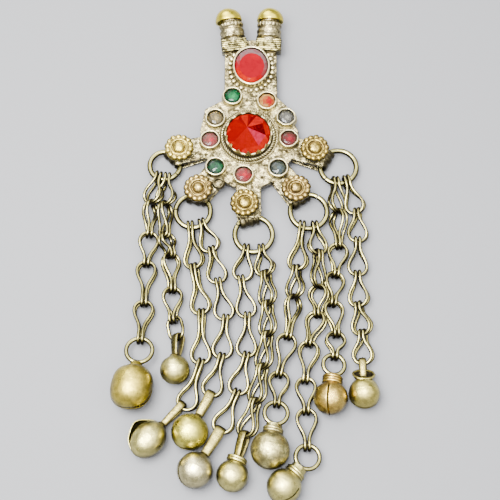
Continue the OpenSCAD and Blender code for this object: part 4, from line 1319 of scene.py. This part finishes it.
def flat_link(length):
    """The closed line of a link that isn't folded."""
    half = [(0.9, 0), (2, 0.8), (2.5, 0.45 * length), (2.6, length - 2.2), (2, length - 0.6), (0.8, length)]
    return [(x, y, 0) for x, y in half] + [(-x, y, 0) for x, y in half[::-1]]


print("points of a folded link:", len(folded_link(10, FOLD_H)))

# %% [markdown]
# Then the line is laid between the link's two ends and turned about its own length, more at one end than at
# the other where the chain twists. The wire itself comes from the tree, and no wire goes below the surface.

# %% Chains
HOOK_OVER = 0.45
LINK_WIRE = 0.5
# side, turn and fade paint the wire's sides nearly black: painted shade, as if they mirrored a dark room.
wire_silver = worn_metal("wire_silver", (0.54, 0.475, 0.155), (0.18, 0.155, 0.05), rough=0.19, patch=4.0,
                         pits=0.15, grain=0.35, depth=0.8, side=0.02, stain=0.1, relief=0.14, wave=0.14,
                         turn=0.98, fade=0.64)


def link_line(ring, turn, links, i):
    """The closed line of link i, in drawn millimetres."""
    x, y, z, turn_top, turn_end, way = links[i]
    rx, ry, rr = RINGS[ring][:3]
    end = Vector((x, y, z))
    above = Vector((rx + rr * math.cos(math.radians(turn)), ry + rr * math.sin(math.radians(turn)), RING_Z))
    if i:
        above = Vector(links[i - 1][:3])
    down = (end - above).normalized()
    below = links[min(i + 1, len(links) - 1)][5]
    top = above - down * (HOOK_OVER if i and way == -1 and links[i - 1][5] == 1 else 0)
    bottom = end + down * (HOOK_OVER if way == 1 and below == -1 else 0)
    length = (bottom - top).length
    side = Vector((0, 0, 1)).cross(down).normalized()
    up = down.cross(side)
    straight = flat_link(length) if way == 0 else folded_link(length, FOLD_H if i else RING_FOLD_H)
    line = []
    for across, along, through in straight:
        along = length - along if way < 0 else along
        a = math.radians(turn_top + (turn_end - turn_top) * between(0, along / length, 1))
        line.append(top + down * along + (side * math.cos(a) + up * math.sin(a)) * across
                    + (up * math.cos(a) - side * math.sin(a)) * through)
    return line


for k, (ring, turn, links) in enumerate(CHAINS):
    corners, edges = [], []
    for i in range(len(links)):
        line = link_line(ring, turn, links, i)
        start = len(corners)
        corners += [point - SHEET_MIDDLE for point in line]
        edges += [(start + j, start + (j + 1) % len(line)) for j in range(len(line))]
    piece = new_piece("wire_chain_%02d" % (k + 1), corners, [], edges=edges)
    run_tree(piece, bent_wire, wire_radius=LINK_WIRE * MM, step=0.3 * MM, sides=10, unevenness=0.1 * MM,
             metal=wire_silver)
    for vert in piece.data.vertices:
        vert.co.z = max(vert.co.z, 0.02 * MM)
    hand_in(piece, ["chain_%02d" % (k + 1)], wire_silver)

# %% [markdown]
# ## Bells
# Ten hollow bells end the chains. Six hang on a strap that is folded over the last link, and four on a
# round wire eye. Their sheet is silver or brass in several tones, each cleaned and worn in its own way, so
# the metals share one set of numbers and name only what differs.

# %% Metals of the bells
def bell_metal(name, bright, dull, **special):
    """The sheet of a bell; special holds the numbers that differ from one bell to the next."""
    # side and turn paint shade on the parts of each bell that turn upright or down.
    shared = dict(rough=0.29, patch=4.0, pits=0.4, grain=0.3, depth=0.6, pit_size=1.4, side=0.08, stain=0.3,
                  relief=0.4, wave=0.5, turn=0.85)
    return worn_metal(name, bright, dull, **{**shared, **special})


bell_silver = bell_metal("bell_silver", (0.96, 0.86, 0.28), (0.7, 0.61, 0.22), pit_size=1.3, side=0.06,
                         turn=0.88)
bell_grey = bell_metal("bell_grey", (0.95, 0.85, 0.42), (0.66, 0.58, 0.33), side=0.06, turn=0.88)
bell_pitted = bell_metal("bell_pitted", (0.9, 0.8, 0.3), (0.58, 0.49, 0.21), patch=2.5, pits=0.8, grain=0.35,
                         pit_size=0.8, stain=0.55, relief=0.7, wave=0.6, turn=0.88)
bell_olive = bell_metal("bell_olive", (0.88, 0.7, 0.1), (0.6, 0.46, 0.08), rough=0.3, patch=5.0, pits=0.5,
                        pit_size=1.5, stain=0.35, wave=0.6)
bell_yellow = bell_metal("bell_yellow", (0.98, 0.88, 0.14), (0.76, 0.66, 0.13), patch=5.0, pits=0.35,
                         grain=0.25, side=0.1, relief=0.35)
bell_gold = bell_metal("bell_gold", (0.92, 0.65, 0.15), (0.52, 0.34, 0.08), patch=3.0, grain=0.25,
                       pit_size=1.2, stain=0.4)
bell_pale = bell_metal("bell_pale", (0.86, 0.74, 0.18), (0.6, 0.5, 0.14), grain=0.25, stain=0.35)
# The straps' silver is a darker copy of the bells' silver, and its patina reaches 2.2 mm from the bell:
# painted shade on the flat strap, darkest near the bell.
strap_silver = worn_metal("strap_silver", (0.42, 0.35, 0.1), (0.21, 0.175, 0.05), rough=0.25, patch=2.5,
                          pits=0.3, grain=0.4, depth=2.2, hollow=0.97, side=0.05, stain=0.3, relief=0.4,
                          wave=0.7, turn=0.97, fade=0.4)
print("metals:", len([made for made in bpy.data.materials if made.use_nodes]))

# %% [markdown]
# The table says where each bell lies, how large it is and how it hangs. The size after the kind of fitting
# is the width of a strap or the radius of an eye. Then come the turns of wire round the neck, the way the
# slit is turned and how far it runs past the bell's middle, and last its metal and its slot. Two bells are
# taller than they are wide.

# %% Table of bells
Bell = namedtuple("Bell", "x y radius fitting size coil slit_turn slit_up metal slot")
BELLS = [
    Bell(-33.6, -42.2, 6.1, "eye", 3.8, 0, 80, 0, bell_olive, "bell_brass"),
    Bell(-21.6, -36.7, 4.25, "strap", 2.6, 0, 95, 0, bell_silver, "bell_silver"),
    Bell(-28.5, -56.8, 4.6, "strap", 2.2, 0, 106, 0, bell_silver, "bell_silver"),
    Bell(-16.9, -54.8, 5.2, "strap", 2.7, 0, 75, 0, bell_yellow, "bell_brass"),
    Bell(-15.3, -65.4, 5.05, "strap", 3, 0, 120, 0, bell_grey, "bell_silver"),
    Bell(-4.9, -66.8, 4.5, "strap", 2.4, 2, 100, 0, bell_silver, "bell_silver"),
    Bell(5.6, -59.8, 5.5, "eye", 3.3, 2, 98, 0, bell_pitted, "bell_silver"),
    Bell(9.4, -69.8, 4.9, "eye", 3.4, 2, 50, 1.6, bell_silver, "bell_silver"),
    Bell(23, -45.1, 4.9, "eye", 3.1, 3, -15, 3, bell_gold, "bell_copper"),
    Bell(32.6, -43.6, 4.5, "strap", 2.2, 0, 90, 0, bell_pale, "bell_brass")]
TALL = {0: 6.5, 2: 5.7}
SQUARE, TORN, DISHED = 0, 2, 9
SIDE_HOOK = (-19.9, -47.3, 2.9)


def bell_frame(k):
    """The matrix of bell k, how far up its own axis its hook lies, and the turn of its last link."""
    bell = BELLS[k]
    centre = Vector((bell.x, bell.y, bell.radius + 0.05 if k in TALL else bell.radius))
    last, above = CHAINS[k][2][-1], CHAINS[k][2][-2]
    hook = Vector(SIDE_HOOK if k == TORN else last[:3])
    level = Vector((hook.x - above[0], hook.y - above[1], 0)).normalized()
    rise = (centre.z - hook.z) / (centre.xy - hook.xy).length
    down = Vector((level.x, level.y, rise)).normalized()
    reach = (hook + down * bell.size if bell.fitting == "eye" else hook) - centre
    far = reach.length
    aim, tilt = math.degrees(math.atan2(reach.y, reach.x)), math.degrees(math.acos(reach.z / far))
    return Matrix.Translation(centre - SHEET_MIDDLE) @ spun(aim, "Z") @ spun(tilt, "Y"), far, -last[4]


print("bells:", len(BELLS))

# %% [markdown]
# A bell is raised from two cups of thin sheet that are soldered together, with a slit below so that the
# pellet inside is heard. The mesh starts as a ball whose poles lie at the sides of the slit. So the slit is
# a band between two rows of faces that are left out, and Solidify later gives the sheet its thickness.
# Dents and a slightly raised seam keep it from looking turned. The first bell is pressed a little square.

# %% The round of a bell
SLIT_W, ROUND_STEPS, ROWS, DENTS = 0.5, 64, 22, 7


def bell_shell(k):
    """The outer skin of a bell in its own frame, with the slit left open."""
    r, slit_up, seed = BELLS[k].radius, BELLS[k].slit_up, 5 + k
    luck = random.Random(seed)
    slit = math.asin(SLIT_W / 2 / r)
    rows = [a for a in (-math.pi / 2 + math.pi * i / ROWS for i in range(ROWS + 1)) if abs(a) > slit * 1.6]
    rows = sorted(rows + [-slit * 1.5, -slit, 0.0, slit, slit * 1.5])
    dents = [(Vector((luck.uniform(-1, 1), luck.uniform(-1, 1), luck.uniform(-1, 1))).normalized(),
              luck.uniform(0.25, 0.5), luck.uniform(0.05, 0.14)) for _ in range(DENTS)]
    corners, faces = [], []
    for i, a in enumerate(rows):
        for j in range(ROUND_STEPS if 0 < i < len(rows) - 1 else 1):
            b = 2 * math.pi * j / ROUND_STEPS
            way = Vector((math.cos(a) * math.sin(b), math.sin(a), -math.cos(a) * math.cos(b)))
            depth = sum(deep * math.exp(-((1 - way.dot(dent)) / wide ** 2) * 3) for dent, wide, deep in dents)
            seam = 0.05 * math.exp(-((way.z * r - 0.2) / 0.16) ** 2)
            point = way * (r - depth + seam + 0.05 * noise.noise(way * 2.5 + Vector((seed, 0, 0))) + 0.02)
            if slit * 1.05 < abs(a) < slit * 1.6 and way.z * r < slit_up:
                point *= 1.012
            if k == SQUARE:
                point *= 0.985 / (way.xy.length ** 2.5 + abs(way.z) ** 2.5) ** 0.4
            point.z *= TALL.get(k, r) / r
            corners.append(point)
    starts = [0] + [1 + ROUND_STEPS * i for i in range(len(rows) - 1)]
    for i in range(len(rows) - 1):
        for j in range(ROUND_STEPS):
            m = (j + 1) % ROUND_STEPS
            if i == 0:
                face = (0, starts[1] + m, starts[1] + j)
            elif i == len(rows) - 2:
                face = (starts[i] + j, starts[i] + m, starts[i + 1])
            else:
                face = (starts[i] + j, starts[i] + m, starts[i + 1] + m, starts[i + 1] + j)
                middle = sum((corners[c] for c in face), Vector()) / 4
                if abs(middle.y) < SLIT_W / 2 and middle.z < slit_up:
                    continue
            faces.append(face)
    return moved(corners, spun(BELLS[k].slit_turn, "Z")), faces


def place_metric(matrix):
    """The same placing matrix with its shift in metres."""
    made = matrix.copy()
    made.translation *= MM
    return made


def thicken(piece, thickness, offset):
    """Gives a sheet its thickness: inwards with an offset of -1 and outwards with 1."""
    wall = piece.modifiers.new("wall", "SOLIDIFY")
    wall.thickness = thickness * MM
    wall.offset = offset
    bake_modifiers(piece)


print("corners of the first bell:", len(bell_shell(0)[0]))

# %% [markdown]
# A strap is a strip of sheet with filed edges. It goes up one side of the hook, over it and down the other,
# and its two legs meet on a small soldered foot. The strip is swept along its line with a section of ten
# corners, and like every fitting of a bell the foot starts a little below the bell's top.

# %% Straps
STRAP_BEND, STRAP_OVER, STRAP_T, STRAP_CROWN = 1.2, 0.15, 0.6, 0.14
SUNK = 0.9


def sweep_strip(line, side, widths, t):
    """A strip of thickness t along a line; side is the strip's own cross direction."""
    edge, top, n = t * 0.22, t / 2 - STRAP_CROWN, 10
    corners, faces = [], []
    for i, (point, w) in enumerate(zip(line, widths)):
        half = w / 2
        shape = [(half - edge, top), (half, top - edge), (half, -t / 2 + edge), (half - edge, -t / 2),
                 (-half + edge, -t / 2), (-half, -t / 2 + edge), (-half, top - edge), (-half + edge, top),
                 (-w / 5, t / 2), (w / 5, t / 2)]
        ahead = line[min(i + 1, len(line) - 1)] - line[max(i - 1, 0)]
        out = side.cross(ahead).normalized()
        corners += [point + side * a + out * b for a, b in shape]
    for i in range(len(line) - 1):
        faces += [(n * i + j, n * i + (j + 1) % n, n * i + n + (j + 1) % n, n * i + n + j) for j in range(n)]
    faces += [tuple(range(n))[::-1], tuple(range(n * len(line) - n, n * len(line)))]
    return corners, faces


def strap(top, far, w):
    """A strap of width w over a hook that lies far up the axis, on a bell whose top is at top."""
    bend_z, r, low = far + STRAP_OVER, STRAP_BEND + STRAP_T / 2, top - 0.55
    leg = [(0.7 + (r - 0.7) * math.sin(math.pi / 2 * i / 8), low + (bend_z - low) * i / 8) for i in range(8)]
    line = [Vector((x, 0, z)) for x, z in leg]
    turns = [math.pi * i / 14 for i in range(15)]
    line += [Vector((r * math.cos(t), 0, bend_z + r * math.sin(t))) for t in turns]
    line += [Vector((-x, 0, z)) for x, z in leg[::-1]]
    widths = [w * (0.82 + 0.18 * between(0, (point.z - low) / (bend_z - low), 1)) for point in line]
    upper = sweep_strip(line, Vector((0, 1, 0)), widths, STRAP_T)
    corners, faces = lathe([(0, top - SUNK), (2.3, top - SUNK), (2.15, top - 0.2), (1.6, top + 0.25),
                            (0, top + 0.38)], 32)
    return joined([upper, (moved(corners, Matrix.Diagonal((1.0, max(0.7, w / 4.0), 1.0, 1.0))), faces)])


print("corners of a strap:", len(strap(5, 8, 2.5)[0]))

# %% [markdown]
# A bell that hangs on an eye has a turned neck below it, and four bells have a few turns of wire wound
# round a plain sleeve on the neck. All of this is soldered into one fitting.

# %% Necks of the bells
COIL_R, COIL_WIRE, COIL_STEP = 2.55, 0.45, 0.75
NECK_R = 1.9


def fitting_of(k, top, far, hook_turn):
    """The corners and faces of a bell's strap or neck, with the sleeve for its coil."""
    bell, parts = BELLS[k], []
    if bell.fitting == "strap":
        corners, faces = strap(top, far, bell.size)
        parts.append((moved(corners, spun(hook_turn, "Z")), faces))
    else:
        stem = COIL_R - 0.05 if bell.coil else NECK_R
        low = far - bell.size
        profile = [(0, top - SUNK), (stem + 0.4, top - 0.75), (stem, top - 0.25), (stem * 0.92, low - 0.4),
                   (stem * 0.6, low + 0.05), (0, low + 0.15)]
        parts.append(lathe(profile, 36, 0.08, k))
    if bell.coil:
        rise, sleeve = COIL_STEP * (bell.coil - 1), COIL_R - 0.1
        parts.append(lathe([(0, top - SUNK), (sleeve, top - SUNK), (sleeve, top - 0.25 + rise),
                            (1.2, top - 0.1 + rise), (0, top - 0.1 + rise)], 36))
    return joined(parts)


print("coiled bells:", [k + 1 for k, bell in enumerate(BELLS) if bell.coil])

# %% [markdown]
# Two bells have something more. The third has split, so a sheet of its wall stands off on the left with a
# wavy edge. It is a curved grid of faces that leaves the round more and more toward its free side. The tenth
# sits in a dished collar, tilted up, whose rim is twisted like a rope: both are turned.

# %% Torn wall and dished collar
FLAP_TURN, FLAP_SPREAD, FLAP_T = 50, 50, 0.32
DISH_RISE = math.radians(38)
DISH = [(0.9, -0.5), (2.0, -0.3), (2.7, 0.5), (3.1, 1.4), (2.85, 1.45), (2.3, 0.8), (1.6, 0.25), (0.9, 0.15),
        (0.9, -0.5)]


def torn_flap(name, bell, place, top):
    """The part of the wall that stands off, from its hinge to its free wavy edge."""
    corners, rows, steps = [], 16, 12
    n = steps + 1
    for i in range(rows + 1):
        up = math.radians(-78 + 156 * i / rows)
        for j in range(steps + 1):
            a = math.radians(FLAP_TURN + FLAP_SPREAD * j / steps)
            away = math.sin(math.pi / 2 * j / steps) * math.sin(math.pi * i / rows) ** 0.6
            off = bell.radius + 0.1 + away * (1.15 + 0.3 * math.sin(0.85 * i))
            corners.append(Vector((off * math.cos(up) * math.cos(a), off * math.cos(up) * math.sin(a),
                                   (top - 0.3) * math.sin(up))))
    faces = [(n * i + j, n * i + j + 1, n * i + n + j + 1, n * i + n + j) for i in range(rows)
             for j in range(steps)]
    torn = new_piece("torn_flap", corners, faces)
    thicken(torn, FLAP_T, 1)
    torn.data.transform(place_metric(place))
    hand_in(torn, [name], bell.metal)


def dished_collar(name, bell, place, top):
    """A dish round the neck and its rope rim, tilted upwards."""
    way = (place.to_3x3() @ Vector((0, 0, 1))).normalized()
    level = Vector((way.x, way.y, 0)).normalized()
    raised = level * math.cos(DISH_RISE) + Vector((0, 0, math.sin(DISH_RISE)))
    tilted = raised.to_track_quat("Z", "X").to_matrix().to_4x4()
    seat = Matrix.Translation(place @ Vector((0, 0, top - 0.2))) @ tilted
    bowl = lathe(DISH, 48, 0.12, 3.0)
    rim = lathe(arc(3.02, 1.45, 0.34, 0, 360, 10), 48, 0.14, 5.0, 0.05, 17)
    for part, (corners, faces), metal in (("dish_of_", bowl, loop_silver), ("rim_of_", rim, bell.metal)):
        piece = new_piece(part + name, moved(corners, seat), faces)
        turn_faces_out(piece)
        hand_in(piece, [name], metal)


print("torn bell:", TORN + 1, "dished bell:", DISHED + 1)

# %% [markdown]
# Now each bell is put together in its own frame, whose z axis points to its hook, and then laid in its
# place.

# %% Bells
BELL_WALL, EYE_WIRE = 0.6, 0.65
for k, bell in enumerate(BELLS):
    place, far, hook_turn = bell_frame(k)
    top = TALL.get(k, bell.radius)
    name = "bell_%02d" % (k + 1)
    shell = new_piece("round_" + name, *bell_shell(k))
    turn_faces_out(shell)
    thicken(shell, BELL_WALL, -1)
    if k == DISHED:
        dished_collar(name, bell, place, top)
    if k == TORN:
        torn_flap(name, bell, place, top)
    fitting = new_piece("fitting_of_" + name, *fitting_of(k, top, far, hook_turn))
    turn_faces_out(fitting)
    pieces = [(shell, bell.metal), (fitting, strap_silver if bell.fitting == "strap" else bell.metal)]
    if bell.fitting == "eye":
        eye = run_tree(empty_piece("eye_of_" + name), cut_ring, ring_radius=bell.size * MM,
                       wire_radius=EYE_WIRE * MM, opening=math.radians(3), unevenness=0.12 * MM,
                       metal=ring_silver)
        eye.data.transform(Matrix.Translation((0, 0, far * MM)) @ spun(hook_turn, "Z") @ spun(90, "Y"))
        pieces.append((eye, ring_silver))
    if bell.coil:
        coil = run_tree(empty_piece("coil_of_" + name), neck_coil, coil_radius=COIL_R * MM,
                        wire_radius=COIL_WIRE * MM, turns=bell.coil - 0.1, rise=COIL_STEP * MM,
                        metal=bell.metal)
        coil.data.transform(Matrix.Translation((0, 0, (top - 0.75) * MM)))
        pieces.append((coil, bell.metal))
    for piece, metal in pieces:
        piece.data.transform(place_metric(place))
        piece.data.set_sharp_from_angle(angle=math.radians(48))
        hand_in(piece, [name], metal)

# %% [markdown]
# ## Hanging tube
# A short tube across the back of the neck takes the cord. It is rolled from sheet and sits on a saddle of
# two ribs. The frame's own box says where it lies and how far the ribs reach up.

# %% Hanging tube
TUBE_L, TUBE_R, BORE = 9.0, 1.8, 1.2
RIB_AT, RIB_T = 1.4, 0.7
low, high = (Vector(corner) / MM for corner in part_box("hanging_tube"))
middle = (low + high) / 2
half = TUBE_L / 2
profile = [(BORE, -half), (BORE + 0.1, -half), (TUBE_R - 0.12, -half), (TUBE_R, -half + 0.15), (TUBE_R, -1.6),
           (TUBE_R - 0.12, -1.4), (TUBE_R, -1.2), (TUBE_R, 1.2), (TUBE_R - 0.12, 1.4), (TUBE_R, 1.6),
           (TUBE_R, half - 0.15), (TUBE_R - 0.12, half), (BORE + 0.1, half), (BORE, half), (BORE, -half)]
corners, faces = lathe(profile, 40, 0.04, 2.0)
parts = [(moved(corners, Matrix.Translation((middle.x, middle.y, TUBE_R)) @ spun(90, "Y")), faces)]
for side in (-1, 1):
    parts.append(box_between((-half, side * RIB_AT - RIB_T / 2, TUBE_R * 0.4),
                             (half, side * RIB_AT + RIB_T / 2, high.z - low.z),
                             Matrix.Translation((middle.x, middle.y, 0))))
hanging = new_piece("cord_tube", *joined(parts))
turn_faces_out(hanging)
hand_in(hanging, ["hanging_tube"], old_silver)
